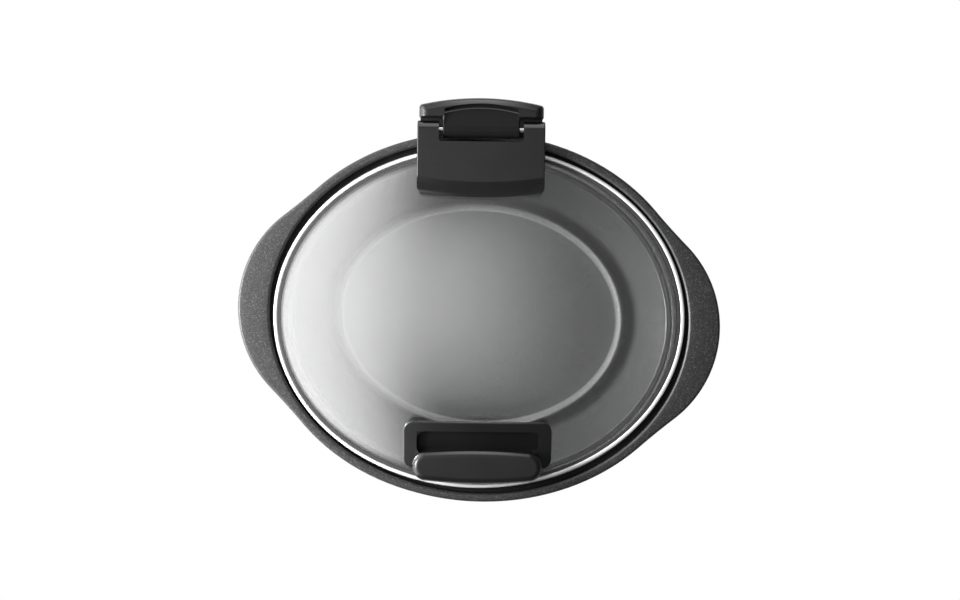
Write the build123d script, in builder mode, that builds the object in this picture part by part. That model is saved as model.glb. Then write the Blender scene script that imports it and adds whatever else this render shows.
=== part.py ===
"""Oval slow cooker with a lift-out cast pot, a glass lid on a rear hinge and a heated base.

Millimetres, +Z up, front of the cooker at -Y. The origin is at the bottom centre of the
whole object's box. Every oval is a (half length, half width) pair, along X and along Y.
Depths named for one side are measured from the bowl's centre, as a positive distance.
Pieces of one moving body meet face to face or stand `seat_gap` apart; pieces of different
bodies stand `seat_gap` apart at rest, except for the bearing of a turning part.
"""

import os
from math import cos, degrees, inf, pi, sin, sqrt

from build123d import *

os.makedirs("parts", exist_ok=True)

# ---------------------------------------------------------------- driving sizes
seat_gap = 0.3  # between pieces that rest on each other
running_gap = 0.05  # radial, shaft in its bearing
screw_clearance = 0.3  # radial, shank or head in its hole

# Heights above the worktop, and of the base's own levels
foot_height = 8.0
tray_bottom_z = 6.0
tray_rise = 10.0  # bottom of the tray up to the casing's foot
casing_drop = 7.2  # collar's web down to the casing's head
flange_top_z = 160.5

# Cast pot
flange_oval = (182.4, 152.9)
flange_width = (8.7, 6.9)  # flange's edge in to the opening that takes the lid
ledge_width = (16.5, 14.5)  # that opening in to the cooking space
wall_taper = (24.2, 26.9)  # mouth of the cooking space in to the foot of its wall
flange_thickness = 5.0
ledge_drop = 8.5  # flange top down to the ledge that carries the lid
ledge_thickness = 3.5
step_wall = 2.5  # wall between the flange and the ledge
wing_radius = 95.9
wing_rise = 17.6  # flange's oval out to the tip of either wing
wing_blend_radius = 600.0
mouth_round = 7.0  # pot's wall into the ledge
pot_floor_rise = 8.0  # floor of the well up to the pot's floor
pot_floor_thickness = 4.5
pot_wall = 3.5
pot_corner_radius = 14.0
pot_turn = -3.7  # degrees that the loose pot sits turned within the play of its well

# Base
casing_inset = (1.8, 0.0)  # flange's oval in to the casing's head
casing_taper = (11.6, 11.9)  # casing's head in to its foot
casing_wall = 1.2
casing_lip = 16.0  # turned-in bottom edge that takes the tray screws
tray_inset = 21.0  # casing's foot in to the tray's floor
tray_wall = 2.5
tray_screw_inset = 10.0  # outer edge to the tray screws
foot_radius = 10.0
foot_pocket = 2.0
foot_share = 0.74  # feet stand on an oval this share of the casing's foot
vent_length = 36.0
vent_width = 4.0
vent_x = 62.0
collar_wall = 1.8
collar_skirt = 10.0  # depth of the skirt inside the casing
collar_web = 4.2
collar_hole_play = 8.8  # cooking space out to the hole in the collar's web
side_grip_radius = 91.0
side_grip_rise = 15.4  # casing's head out to the tip of a base grip
side_grip_height = 18.0
side_grip_drop = 1.7  # top of the collar down to the top of a base grip
side_grip_wall = 3.5
pot_play = 2.6  # round the pot's step wall, inside the collar

# Heating well and what is fixed to it
well_sheet = 1.0
well_play = 3.6  # round the pot
well_floor_z = 25.0
well_lip = 9.0
band_rise = 11.0  # floor of the well up to the heater band
band_height = 38.0
band_thickness = 2.5
band_split = 6.0
band_tab_rise = 24.0  # bottom of the band up to its tabs
shield_inset = 44.0  # tray's floor in to the heat shield
shield_height = 6.3
shield_sheet = 0.8
stud_radius = 2.5
nut_height = 3.2
wiring_drop = 5.5  # floor of the well down to the wiring
lead_radius = 1.2
lead_bend = 5.0

# Front controls
panel_width = 92.0
panel_height = 62.0
panel_lift = 19.0  # foot of the casing up to the panel
panel_inset = 3.5  # casing's head in to the panel's face
panel_skin = 3.0
panel_corner_radius = 9.0
plug_half_width = 34.0  # part of the panel that passes through the casing
plug_height = 54.0
plug_lift = 6.0  # bottom of the panel up to the plug
plug_depth = 8.9  # behind the panel's face
plug_rim = 6.0
barb = 1.0
board_thickness = 1.6
knob_radius = 18.0
knob_depth = 11.0
knob_stand_off = 0.9
knob_rise = 27.0  # bottom of the panel up to the knob's axis
knob_flutes = 24
shaft_radius = 3.0
switch_size = 24.0
switch_depth = 8.1
bushing_radius = 4.8
lens_radius = 2.2
lens_rise = 29.0  # above the knob's axis
dial_marks_count = 4
dial_radius = 23.5
dial_step = 45.0  # degrees between marks, clockwise from the top
mark_depth = 0.4

# Mains entry
inlet_rise = 18.0  # foot of the casing up to the inlet's axis
inlet_bore_radius = 4.0
inlet_barrel_radius = 7.5
inlet_flange_radius = 11.0
inlet_stand_off = 2.9  # foot of the casing out to the inlet's flange
inlet_flange_thickness = 3.0
inlet_barrel = 15.9
inlet_nut_back_off = 4.1  # inlet's flange in to its nut
inlet_nut_thickness = 3.4
inlet_key_round = 2.0  # corners of the square shank that keeps the inlet from turning

# Hinge
pin_radius = 2.5
barrel_radius = 7.0
barrel_side_gap = 3.3
barrel_clearance = 2.9  # barrel to the block behind it
pin_rise = 10.4  # bottom of the block up to the pin
block_inset = 1.25  # the block's ends inside those of the lid's plate
block_thickness = 16.1
block_setback = 7.4  # front of the tower back to the front of the block
block_rear_sagitta = 6.0
block_rear_round = 7.0
block_lift = 0.1  # above the flange
tongue_width = 63.0
scoop_front = 2.0  # middle of the pin back to the front of the tongue's hollow
scoop_rear = 21.0
scoop_drop = 5.5
scoop_margin = 1.2
scoop_rear_sagitta = 4.5
hinge_edge_round = 1.0  # top edges of the block and of the lid's plate
blade_width = 70.0
blade_thickness = 6.0
blade_wall = 7.6  # of the tower in front of the blade
blade_floor = 8.2  # of the tower below the blade
tower_width = 101.0
tower_stand_off = 3.5  # casing's head out to the front of the tower
tower_thickness = 19.6
tower_rear_sagitta = 5.0
tower_drop = 29.0  # casing's head down to the bottom of the tower
tower_screw_x = 26.0
tower_screw_rise = 12.0

# Lid
lid_play = (3.1, 4.1)  # opening in the flange in to the lid's rim
lid_rim_height = 5.5
lid_rim_cover = 3.2  # width of the rim as seen from above
lid_rim_sheet = 1.0
glass_thickness = 3.5
glass_brim = 6.0
seal_width = 2.4  # strip on the glass inside the rim
seal_height = 0.6
dome_rise = 22.0
plate_width = 104.9
plate_length = 45.0  # slot's front edge to the front of the lid's hinge plate, at the middle
plate_front_sagitta = 4.2
plate_lift = 1.5  # above the flange
slot_clearance = 3.1  # barrel to the front edge of the slot
slot_corner = 2.0
plate_corner = 4.0
pad_half_width = 46.0
pad_setback = 22.7  # front of the plate back to the pad
pad_length = 9.5
clamp_half_width = 42.0
clamp_setback = 5.2  # front of the plate back to the clamp
clamp_length = 16.0
clamp_thickness = 2.5
clamp_screw_x = 30.0
clamp_screw_setback = 9.0  # front of the clamp back to its screws
clamp_seat_drop = 1.8  # below the top of the glass's brim
foot_plate_width = 122.0  # handle's foot on the glass
foot_plate_inset = 17.4  # lid's front in to the front of the foot
foot_plate_depth = 38.7
foot_plate_thickness = 8.0
foot_plate_corner = 8.0
foot_plate_round = 1.2
grip_width = 105.5
grip_inset = 6.1  # lid's front in to the front of the grip
grip_depth = 27.4
grip_lift = 11.2  # above the top of the glass's brim
grip_height = 20.0
grip_front_sagitta = 3.5
grip_back_sagitta = 2.6
grip_corner = 11.0
grip_edge_round = 5.0
thumb_half_width = 50.0
thumb_setback = 8.2  # back of the handle's foot to the back of the thumb pocket
thumb_depth = 20.0
thumb_corner = 7.0
thumb_floor = 1.8
handle_screw_x = 54.0
handle_screw_setback = 18.2  # back of the handle's foot to its screws
handle_seat_lift = 0.2  # above the top of the glass's brim
washer_radius = 7.0
screw_radius = 2.0
screw_head_radius = 3.6
screw_head_height = 2.4

# ---------------------------------------------------------------- derived ovals


def grown(oval, amount):
    """An oval made larger by the same amount all round."""
    return (oval[0] + amount, oval[1] + amount)


def shrunk(oval, amounts):
    """An oval made smaller by its own amount along each axis."""
    return (oval[0] - amounts[0], oval[1] - amounts[1])


recess_oval = shrunk(flange_oval, flange_width)
mouth_oval = shrunk(recess_oval, ledge_width)
pot_floor_oval = shrunk(mouth_oval, wall_taper)
lid_oval = shrunk(recess_oval, lid_play)
casing_head = shrunk(flange_oval, casing_inset)
casing_foot = shrunk(casing_head, casing_taper)
tray_floor_oval = grown(casing_foot, -tray_inset)
shield_oval = grown(tray_floor_oval, -shield_inset)
collar_hole = grown(mouth_oval, collar_hole_play)

# ---------------------------------------------------------------- derived depths
wing_reach = flange_oval[0] + wing_rise
side_grip_reach = casing_head[0] + side_grip_rise
panel_face = casing_head[1] - panel_inset
plug_back = panel_face - plug_depth
switch_back = plug_back - switch_depth
knob_back = panel_face + knob_stand_off
knob_front = knob_back + knob_depth
inlet_flange_face = casing_foot[1] + inlet_stand_off
inlet_inner_end = inlet_flange_face - inlet_barrel
inlet_nut_back = inlet_flange_face - inlet_nut_back_off
tower_front = casing_head[1] + tower_stand_off
tower_rear = tower_front + tower_thickness
blade_depth = tower_front + blade_wall + blade_thickness / 2  # middle of the blade
block_front = tower_front + block_setback
block_rear = block_front + block_thickness
block_width = plate_width - 2 * block_inset
pin_depth = block_front - barrel_clearance - barrel_radius
slot_depth = pin_depth - barrel_radius - slot_clearance
plate_front = slot_depth - plate_length
pad_front = plate_front + pad_setback
pad_rear = pad_front + pad_length
clamp_front = plate_front + clamp_setback
clamp_rear = clamp_front + clamp_length
clamp_screw_depth = clamp_front + clamp_screw_setback
foot_plate_back = lid_oval[1] - foot_plate_inset - foot_plate_depth
thumb_back = foot_plate_back + thumb_setback
thumb_front = thumb_back + thumb_depth
handle_screw_depth = foot_plate_back + handle_screw_setback
grip_front = lid_oval[1] - grip_inset
grip_back = grip_front - grip_depth

# ---------------------------------------------------------------- derived heights
ledge_z = flange_top_z - ledge_drop
flange_low_z = flange_top_z - flange_thickness
ledge_low_z = ledge_z - ledge_thickness
pot_floor_z = well_floor_z + pot_floor_rise
pot_bottom_z = pot_floor_z - pot_floor_thickness
collar_top_z = ledge_z - seat_gap  # lower than the lid's rim
collar_web_z = ledge_low_z - seat_gap  # top of the web that carries the pot
web_low_z = collar_web_z - collar_web
casing_bottom_z = tray_bottom_z + tray_rise
casing_top_z = collar_web_z - casing_drop
collar_skirt_z = casing_top_z - collar_skirt
side_grip_top_z = collar_top_z - side_grip_drop
side_grip_low_z = side_grip_top_z - side_grip_height
band_low_z = well_floor_z + band_rise
band_high_z = band_low_z + band_height
band_tab_z = band_low_z + band_tab_rise
wiring_z = well_floor_z - wiring_drop
shield_top_z = tray_bottom_z + tray_wall + shield_height
panel_low_z = casing_bottom_z + panel_lift
panel_high_z = panel_low_z + panel_height
plug_low_z = panel_low_z + plug_lift
plug_high_z = plug_low_z + plug_height
knob_z = panel_low_z + knob_rise
lens_z = knob_z + lens_rise
inlet_z = casing_bottom_z + inlet_rise
tower_low_z = casing_top_z - tower_drop
tower_screw_z = tower_low_z + tower_screw_rise
blade_low_z = tower_low_z + blade_floor
block_low_z = flange_top_z + block_lift
tower_top_z = block_low_z - seat_gap
pin_z = block_low_z + pin_rise
hinge_top_z = pin_z + barrel_radius
plate_low_z = flange_top_z + plate_lift
rim_low_z = ledge_z + seat_gap
glass_low_z = rim_low_z + lid_rim_sheet
glass_top_z = glass_low_z + glass_thickness
rim_top_z = glass_top_z + lid_rim_sheet
clamp_seat_z = glass_top_z - clamp_seat_drop
handle_seat_z = glass_top_z + handle_seat_lift
grip_low_z = glass_top_z + grip_lift
grip_top_z = grip_low_z + grip_height

# ---------------------------------------------------------------- derived frame
bowl_y = (knob_front - block_rear) / 2  # puts the origin at the middle of the whole object
bowl = Plane((0, bowl_y, 0))
pot_plane = bowl.rotated((0, 0, pot_turn))
side = Plane(origin=(0, bowl_y, 0), x_dir=(0, 1, 0), z_dir=(1, 0, 0))  # (distance back, height)


def front_plane(depth, height=0.0):
    """Upright plane facing the user, `depth` in front of the bowl's centre."""
    return Plane(origin=(0, bowl_y - depth, height), x_dir=(1, 0, 0), z_dir=(0, -1, 0))


def rear_plane(depth, height=0.0):
    """Upright plane facing backwards, `depth` behind the bowl's centre."""
    return Plane(origin=(0, bowl_y + depth, height), x_dir=(-1, 0, 0), z_dir=(0, 1, 0))


def between(z, low_z, low, high_z, high):
    """The oval at height z on the straight taper from one oval to another."""
    share = (z - low_z) / (high_z - low_z)
    return tuple(a + (b - a) * share for a, b in zip(low, high))


def oval_sections(low_z, low, high_z, high, plane=bowl):
    """Two ovals on planes parallel to `plane`, as the sections of a loft."""
    with BuildSketch(plane.offset(low_z)) as lower:
        Ellipse(*low)
    with BuildSketch(plane.offset(high_z)) as upper:
        Ellipse(*high)
    return [lower.sketch.face(), upper.sketch.face()]


def oval_points(oval):
    """Four places on the diagonals of an oval."""
    x, y = oval[0] * sqrt(0.5), oval[1] * sqrt(0.5)
    return [(x, -y), (-x, -y), (x, y), (-x, y)]


def lead_route(points):
    """Wire run through the given corners, each corner turned on a tangent arc."""
    corners = [Vector(x, bowl_y + y, z) for x, y, z in points]
    with BuildLine() as route:
        start = corners[0]
        for before, corner, after in zip(corners, corners[1:], corners[2:]):
            back = (before - corner).normalized()
            onward = (after - corner).normalized()
            bend = min(lead_bend, (after - corner).length / 2, (before - corner).length / 2)
            entry = corner + back * bend
            leave = corner + onward * bend
            Line(start, entry)
            ThreePointArc(entry, corner + (back + onward) * (bend * (1 - sqrt(0.5))), leave)
            start = leave
        Line(start, corners[-1])
    return route.wires()[0]


def save(name, piece):
    """Label a finished piece and write its STEP file."""
    piece.part.label = name
    export_step(piece.part, f"parts/{name}.step")


def casing_oval(z):
    """Outer oval of the casing at height z."""
    return between(z, casing_bottom_z, casing_foot, casing_top_z, casing_head)


pot_foot = grown(pot_floor_oval, pot_wall)
pot_head = grown(mouth_oval, pot_wall)


def well_oval(z):
    """Inner oval of the heating well at height z: the pot's outer taper and the play."""
    return grown(between(z, pot_bottom_z, pot_foot, ledge_z, pot_head), well_play)


# ---------------------------------------------------------------- base tray and feet
foot_places = oval_points((casing_foot[0] * foot_share, casing_foot[1] * foot_share))
tray_screw_places = oval_points(grown(casing_foot, -tray_screw_inset))
tray_floor_z = tray_bottom_z + tray_wall
tray_flange_z = casing_bottom_z - tray_wall
tray_head_oval = grown(tray_floor_oval, 2.0)

with BuildPart() as base_tray:
    loft(
        oval_sections(tray_bottom_z, tray_floor_oval, casing_bottom_z, tray_head_oval),
        ruled=True,
    )
    with BuildSketch(bowl.offset(tray_flange_z)):
        Ellipse(*casing_foot)
    extrude(amount=tray_wall)
    loft(
        oval_sections(
            tray_floor_z,
            grown(tray_floor_oval, -tray_wall),
            casing_bottom_z,
            grown(tray_head_oval, -tray_wall),
        ),
        ruled=True,
        mode=Mode.SUBTRACT,
    )
    with BuildSketch(bowl.offset(tray_bottom_z)):
        with Locations(*foot_places):
            Circle(foot_radius + tray_wall)
        with Locations((0, 0)):
            Circle(foot_radius)
    extrude(amount=foot_pocket + tray_wall)
    with BuildSketch(bowl.offset(tray_bottom_z)):
        with Locations(*foot_places):
            Circle(foot_radius + running_gap)
        with Locations((0, 0)):
            Circle(screw_head_radius + 2 * screw_clearance)
    extrude(amount=foot_pocket, mode=Mode.SUBTRACT)
    with BuildSketch(bowl.offset(tray_bottom_z)):
        with Locations((0, 0)):
            Circle(stud_radius + screw_clearance)
        with Locations(*tray_screw_places):
            Circle(screw_radius + screw_clearance)
        with Locations((vent_x, 0), (-vent_x, 0)):
            with GridLocations(0, vent_width * 2.25, 1, 5):
                SlotOverall(vent_length, vent_width)
    extrude(amount=casing_bottom_z, mode=Mode.SUBTRACT)
save("base_tray", base_tray)

for place, corner in zip(foot_places, ["front_right", "front_left", "rear_right", "rear_left"]):
    with BuildPart() as foot:
        with BuildSketch(bowl):
            with Locations(place):
                Circle(foot_radius)
        extrude(amount=foot_height)
        fillet(foot.edges().group_by(Axis.Z)[0], 1.5)
    save(f"foot_{corner}", foot)

with BuildPart() as tray_screws:
    with BuildSketch(bowl.offset(tray_flange_z - screw_head_height)):
        with Locations(*tray_screw_places):
            Circle(screw_head_radius)
    extrude(amount=screw_head_height)
    with BuildSketch(bowl.offset(tray_flange_z)):
        with Locations(*tray_screw_places):
            Circle(screw_radius)
    extrude(amount=tray_wall + casing_wall + 4)
save("tray_screws", tray_screws)

# ---------------------------------------------------------------- outer casing
with BuildPart() as outer_casing:
    loft(oval_sections(casing_bottom_z, casing_foot, casing_top_z, casing_head), ruled=True)
    inner_low_z = casing_bottom_z + casing_wall
    loft(
        oval_sections(
            inner_low_z,
            grown(casing_oval(inner_low_z), -casing_wall),
            casing_top_z,
            grown(casing_head, -casing_wall),
        ),
        ruled=True,
        mode=Mode.SUBTRACT,
    )
    with BuildSketch(bowl.offset(casing_bottom_z)):
        Ellipse(*grown(casing_foot, -casing_lip))
    extrude(amount=casing_wall, mode=Mode.SUBTRACT)
    with BuildSketch(bowl.offset(casing_bottom_z)):
        with Locations(*tray_screw_places):
            Circle(screw_radius + screw_clearance)
    extrude(amount=casing_wall, mode=Mode.SUBTRACT)
    with BuildSketch(front_plane(0)):
        with Locations((0, (plug_low_z + plug_high_z) / 2)):
            Rectangle(
                2 * (plug_half_width + seat_gap), plug_high_z - plug_low_z + 2 * seat_gap
            )
    extrude(amount=casing_head[1] + 5, mode=Mode.SUBTRACT)
    with BuildSketch(rear_plane(0)):
        with Locations((0, inlet_z)):
            RectangleRounded(
                2 * (inlet_barrel_radius + seat_gap),
                2 * (inlet_barrel_radius + seat_gap),
                inlet_key_round + seat_gap,
            )
        with Locations((0, (tower_low_z + casing_top_z) / 2)):
            Rectangle(
                tower_width + 2 * seat_gap, casing_top_z - tower_low_z + 2 * seat_gap
            )
    extrude(amount=casing_head[1] + 5, mode=Mode.SUBTRACT)
save("outer_casing", outer_casing)

# ---------------------------------------------------------------- rim collar and base grips
step_oval = grown(recess_oval, step_wall)
collar_inner = grown(step_oval, pot_play)
skirt_oval = grown(casing_oval(collar_skirt_z), -casing_wall - seat_gap)
skirt_inner = grown(skirt_oval, -collar_wall)
grip_centre = side_grip_reach - side_grip_radius

with BuildPart() as rim_collar:
    with BuildSketch(bowl.offset(side_grip_low_z)):
        with Locations((grip_centre, 0), (-grip_centre, 0)):
            Circle(side_grip_radius)
    extrude(amount=side_grip_top_z - side_grip_low_z)
    fillet(rim_collar.edges().filter_by(GeomType.CIRCLE).group_by(Axis.Z)[-1], 3.0)
    with BuildSketch(bowl.offset(side_grip_low_z)):
        with Locations((grip_centre, 0), (-grip_centre, 0)):
            Circle(side_grip_radius - side_grip_wall)
    extrude(amount=side_grip_top_z - side_grip_low_z - side_grip_wall, mode=Mode.SUBTRACT)
    with BuildSketch(bowl.offset(side_grip_low_z)):
        Ellipse(*grown(casing_head, seat_gap))
    extrude(amount=casing_top_z - side_grip_low_z, mode=Mode.SUBTRACT)
    with BuildSketch(bowl.offset(casing_top_z)):
        Ellipse(*casing_head)
    extrude(amount=collar_top_z - casing_top_z)
    with BuildSketch(bowl.offset(collar_skirt_z)):
        Ellipse(*skirt_oval)
    extrude(amount=casing_top_z - collar_skirt_z)
    with BuildSketch(bowl.offset(tower_low_z)):
        with Locations((0, (tower_front + skirt_inner[1] * 0.9) / 2)):
            Rectangle(tower_width, tower_front - skirt_inner[1] * 0.9)
    extrude(amount=collar_top_z - tower_low_z)
    with BuildSketch(bowl.offset(tower_low_z)):
        Ellipse(*skirt_inner)
    extrude(amount=web_low_z - tower_low_z, mode=Mode.SUBTRACT)
    with BuildSketch(bowl.offset(web_low_z)):
        Ellipse(*collar_hole)
    extrude(amount=collar_web, mode=Mode.SUBTRACT)
    with BuildSketch(bowl.offset(collar_web_z)):
        Ellipse(*collar_inner)
    extrude(amount=collar_top_z - collar_web_z, mode=Mode.SUBTRACT)
    with BuildSketch(rear_plane(0)):
        with Locations((tower_screw_x, tower_screw_z), (-tower_screw_x, tower_screw_z)):
            Circle(screw_head_radius + screw_clearance)
    extrude(amount=tower_front - 6, mode=Mode.SUBTRACT)
    with BuildSketch(rear_plane(0)):
        with Locations((tower_screw_x, tower_screw_z), (-tower_screw_x, tower_screw_z)):
            Circle(screw_radius + screw_clearance)
    extrude(amount=tower_front, mode=Mode.SUBTRACT)
save("rim_collar", rim_collar)

# ---------------------------------------------------------------- heating well
with BuildPart() as heating_well:
    loft(
        oval_sections(
            well_floor_z,
            grown(well_oval(well_floor_z), well_sheet),
            web_low_z,
            grown(well_oval(web_low_z), well_sheet),
        ),
        ruled=True,
    )
    fillet(heating_well.edges().group_by(Axis.Z)[0], 8.0)
    with BuildSketch(bowl.offset(web_low_z - well_sheet)):
        Ellipse(*grown(well_oval(web_low_z), well_sheet + well_lip))
    extrude(amount=well_sheet)
    with BuildPart(mode=Mode.PRIVATE) as well_space:
        loft(
            oval_sections(
                well_floor_z + well_sheet,
                well_oval(well_floor_z + well_sheet),
                web_low_z,
                well_oval(web_low_z),
            ),
            ruled=True,
        )
        fillet(well_space.edges().group_by(Axis.Z)[0], 8.0 - well_sheet)
    add(well_space.part, mode=Mode.SUBTRACT)
save("heating_well", heating_well)

band_inner = [grown(well_oval(z), well_sheet + seat_gap) for z in (band_low_z, band_high_z)]
band_outer = [grown(oval, band_thickness) for oval in band_inner]
band_reach = between(band_tab_z, band_low_z, band_outer[0], band_high_z, band_outer[1])[0]
tab_face = band_reach + 3.0
tab_depths = (-15.0, 10.0)

with BuildPart() as heater_band:
    loft(oval_sections(band_low_z, band_outer[0], band_high_z, band_outer[1]), ruled=True)
    with BuildSketch(bowl.offset(band_tab_z - 4)):
        for depth in tab_depths:
            with Locations((tab_face - 4, depth)):
                Rectangle(8, 8)
    extrude(amount=8)
    loft(
        oval_sections(band_low_z, band_inner[0], band_high_z, band_inner[1]),
        ruled=True,
        mode=Mode.SUBTRACT,
    )
    with BuildSketch(bowl.offset(band_low_z)):
        with Locations((0, band_inner[0][1])):
            Rectangle(band_split, band_inner[0][1])
    extrude(amount=band_high_z - band_low_z, mode=Mode.SUBTRACT)
save("heater_band", heater_band)

with BuildPart() as heat_shield:
    with BuildSketch(bowl.offset(tray_floor_z)):
        Ellipse(*shield_oval)
    extrude(amount=shield_top_z - tray_floor_z)
    fillet(heat_shield.edges().group_by(Axis.Z)[-1], 2.5)
    with BuildSketch(bowl.offset(tray_floor_z)):
        Ellipse(*grown(shield_oval, -shield_sheet))
    extrude(amount=shield_top_z - tray_floor_z - shield_sheet - 2.0, mode=Mode.SUBTRACT)
    with BuildSketch(bowl.offset(tray_floor_z)):
        Ellipse(*grown(shield_oval, -shield_sheet - 2.0))
    extrude(amount=shield_top_z - tray_floor_z - shield_sheet, mode=Mode.SUBTRACT)
    with BuildSketch(bowl.offset(tray_floor_z)):
        Circle(stud_radius + screw_clearance)
    extrude(amount=shield_top_z, mode=Mode.SUBTRACT)
save("heat_shield", heat_shield)

with BuildPart() as tie_stud:
    with BuildSketch(bowl.offset(tray_bottom_z + 0.5)):
        Circle(stud_radius)
    extrude(amount=well_floor_z - tray_bottom_z - 0.5)
save("tie_stud", tie_stud)

with BuildPart() as tie_nut:
    with BuildSketch(bowl.offset(tray_bottom_z + foot_pocket + tray_wall)):
        RegularPolygon(4.6, 6)
        Circle(stud_radius + running_gap, mode=Mode.SUBTRACT)
    extrude(amount=nut_height)
save("tie_nut", tie_nut)

thermostat_place = (35.0, -15.0)
with BuildPart() as thermostat:
    with BuildSketch(bowl.offset(well_floor_z - 8)):
        with Locations(thermostat_place):
            Circle(8)
    extrude(amount=8)
    with BuildSketch(bowl.offset(wiring_z - 2)):
        with Locations(thermostat_place):
            Rectangle(22, 5)
    extrude(amount=4)
save("thermostat", thermostat)

fuse_place = (-30.0, 20.0)
fuse_length = 14.0
with BuildPart() as thermal_fuse:
    with BuildSketch(Plane(origin=(fuse_place[0] - fuse_length / 2, bowl_y + fuse_place[1],
                                   wiring_z), x_dir=(0, 1, 0), z_dir=(1, 0, 0))):
        Circle(2.5)
    extrude(amount=fuse_length)
    with BuildSketch(bowl.offset(wiring_z)):
        with Locations(fuse_place):
            Rectangle(8, 3.6)
    extrude(amount=well_floor_z - wiring_z)
    with BuildSketch(bowl.offset(well_floor_z - 1.2)):
        with Locations(fuse_place):
            Rectangle(8, 16)
    extrude(amount=1.2)
save("thermal_fuse", thermal_fuse)

block_place = (-40.0, 95.0)
block_size = (28.0, 14.0)
with BuildPart() as terminal_block:
    with BuildSketch(bowl.offset(tray_floor_z)):
        with Locations(block_place):
            Rectangle(*block_size)
    extrude(amount=13)
    with BuildSketch(bowl.offset(tray_floor_z + 10)):
        with Locations(block_place):
            with GridLocations(9, 0, 3, 1):
                Circle(2.4)
    extrude(amount=3, mode=Mode.SUBTRACT)
save("terminal_block", terminal_block)

block_left = block_place[0] - block_size[0] / 2
block_right = block_place[0] + block_size[0] / 2
block_near = block_place[1] - block_size[1] / 2
riser = tab_face + 6.0
board_rear = plug_back - board_thickness
routes = {
    "lead_supply": [
        (block_left + 6, block_near, wiring_z),
        (block_left + 6, fuse_place[1], wiring_z),
        (fuse_place[0] - fuse_length / 2, fuse_place[1], wiring_z),
    ],
    "lead_link": [
        (fuse_place[0] + fuse_length / 2, fuse_place[1], wiring_z),
        (10, fuse_place[1], wiring_z),
        (10, thermostat_place[1], wiring_z),
        (thermostat_place[0] - 11, thermostat_place[1], wiring_z),
    ],
    "lead_heater": [
        (thermostat_place[0] + 11, thermostat_place[1], wiring_z),
        (riser, tab_depths[0], wiring_z),
        (riser, tab_depths[0], band_tab_z),
        (tab_face, tab_depths[0], band_tab_z),
    ],
    "lead_return": [
        (tab_face, tab_depths[1], band_tab_z),
        (riser, tab_depths[1], band_tab_z),
        (riser, tab_depths[1], wiring_z),
        (70, tab_depths[1], wiring_z),
        (70, block_place[1], wiring_z),
        (block_right, block_place[1], wiring_z),
    ],
    "lead_switch": [
        (-24, -board_rear, 50),
        (-24, -board_rear + 8, 50),
        (-24, -board_rear + 8, wiring_z),
        (-24, -98, wiring_z),
        (-75, -98, wiring_z),
        (-75, block_place[1], wiring_z),
        (block_left, block_place[1], wiring_z),
    ],
}
for name, points in routes.items():
    route = lead_route(points)
    with BuildPart() as wire_lead:
        with BuildSketch(Plane(origin=route @ 0, z_dir=route % 0)):
            Circle(lead_radius)
        sweep(path=route)
    save(name, wire_lead)

# ---------------------------------------------------------------- front controls
plug_middle_z = (plug_low_z + plug_high_z) / 2
pocket_depth = panel_face - panel_skin - plug_back
dial_sweep = dial_step * (dial_marks_count - 1)
plug_screw_places = [
    (x, z)
    for x in (plug_half_width - plug_rim / 2, -plug_half_width + plug_rim / 2)
    for z in (plug_low_z + 8, plug_high_z - 8)
]

with BuildPart() as panel_form:
    loft(
        oval_sections(
            casing_bottom_z,
            grown(casing_foot, seat_gap),
            casing_top_z,
            grown(casing_head, seat_gap),
        ),
        ruled=True,
    )

with BuildPart() as control_panel:
    with BuildSketch(front_plane(plug_back / 2)):
        with Locations((0, (panel_low_z + panel_high_z) / 2)):
            RectangleRounded(panel_width, panel_high_z - panel_low_z, panel_corner_radius)
    extrude(amount=panel_face - plug_back / 2)
    fillet(control_panel.faces().sort_by(Axis.Y)[0].edges(), 1.0)
    add(panel_form.part, mode=Mode.SUBTRACT)
    with BuildSketch(front_plane(plug_back)):
        with Locations((0, plug_middle_z)):
            Rectangle(2 * plug_half_width, plug_height)
    extrude(amount=panel_face - panel_skin - plug_back)
    with BuildSketch(front_plane(plug_back)):
        with Locations((0, plug_low_z - barb + 1), (0, plug_high_z + barb - 1)):
            Rectangle(20, 2)
    extrude(amount=1.0)
    with BuildSketch(front_plane(plug_back)):
        with Locations((0, plug_middle_z)):
            RectangleRounded(2 * (plug_half_width - plug_rim), plug_height - plug_rim, 2)
    extrude(amount=pocket_depth, mode=Mode.SUBTRACT)
    with BuildSketch(front_plane(plug_back)):
        with Locations((0, knob_z)):
            Circle(bushing_radius + seat_gap)
        with Locations((0, lens_z)):
            Circle(lens_radius + seat_gap)
    extrude(amount=panel_face - plug_back, mode=Mode.SUBTRACT)
    with BuildSketch(front_plane(plug_back)):
        with Locations(*plug_screw_places):
            Circle(1.25 + running_gap)
    extrude(amount=6, mode=Mode.SUBTRACT)
    with BuildSketch(front_plane(panel_face)):
        with Locations((0, knob_z)):
            with PolarLocations(dial_radius, dial_marks_count, 90, -dial_sweep,
                                endpoint=True):
                Rectangle(4.0, 1.2)
    extrude(amount=-mark_depth, mode=Mode.SUBTRACT)
save("control_panel", control_panel)

with BuildPart() as dial_marks:
    with BuildSketch(front_plane(panel_face)):
        with Locations((0, knob_z)):
            with PolarLocations(dial_radius, dial_marks_count, 90, -dial_sweep,
                                endpoint=True):
                Rectangle(3.9, 1.1)
    extrude(amount=-mark_depth)
save("dial_marks", dial_marks)

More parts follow.
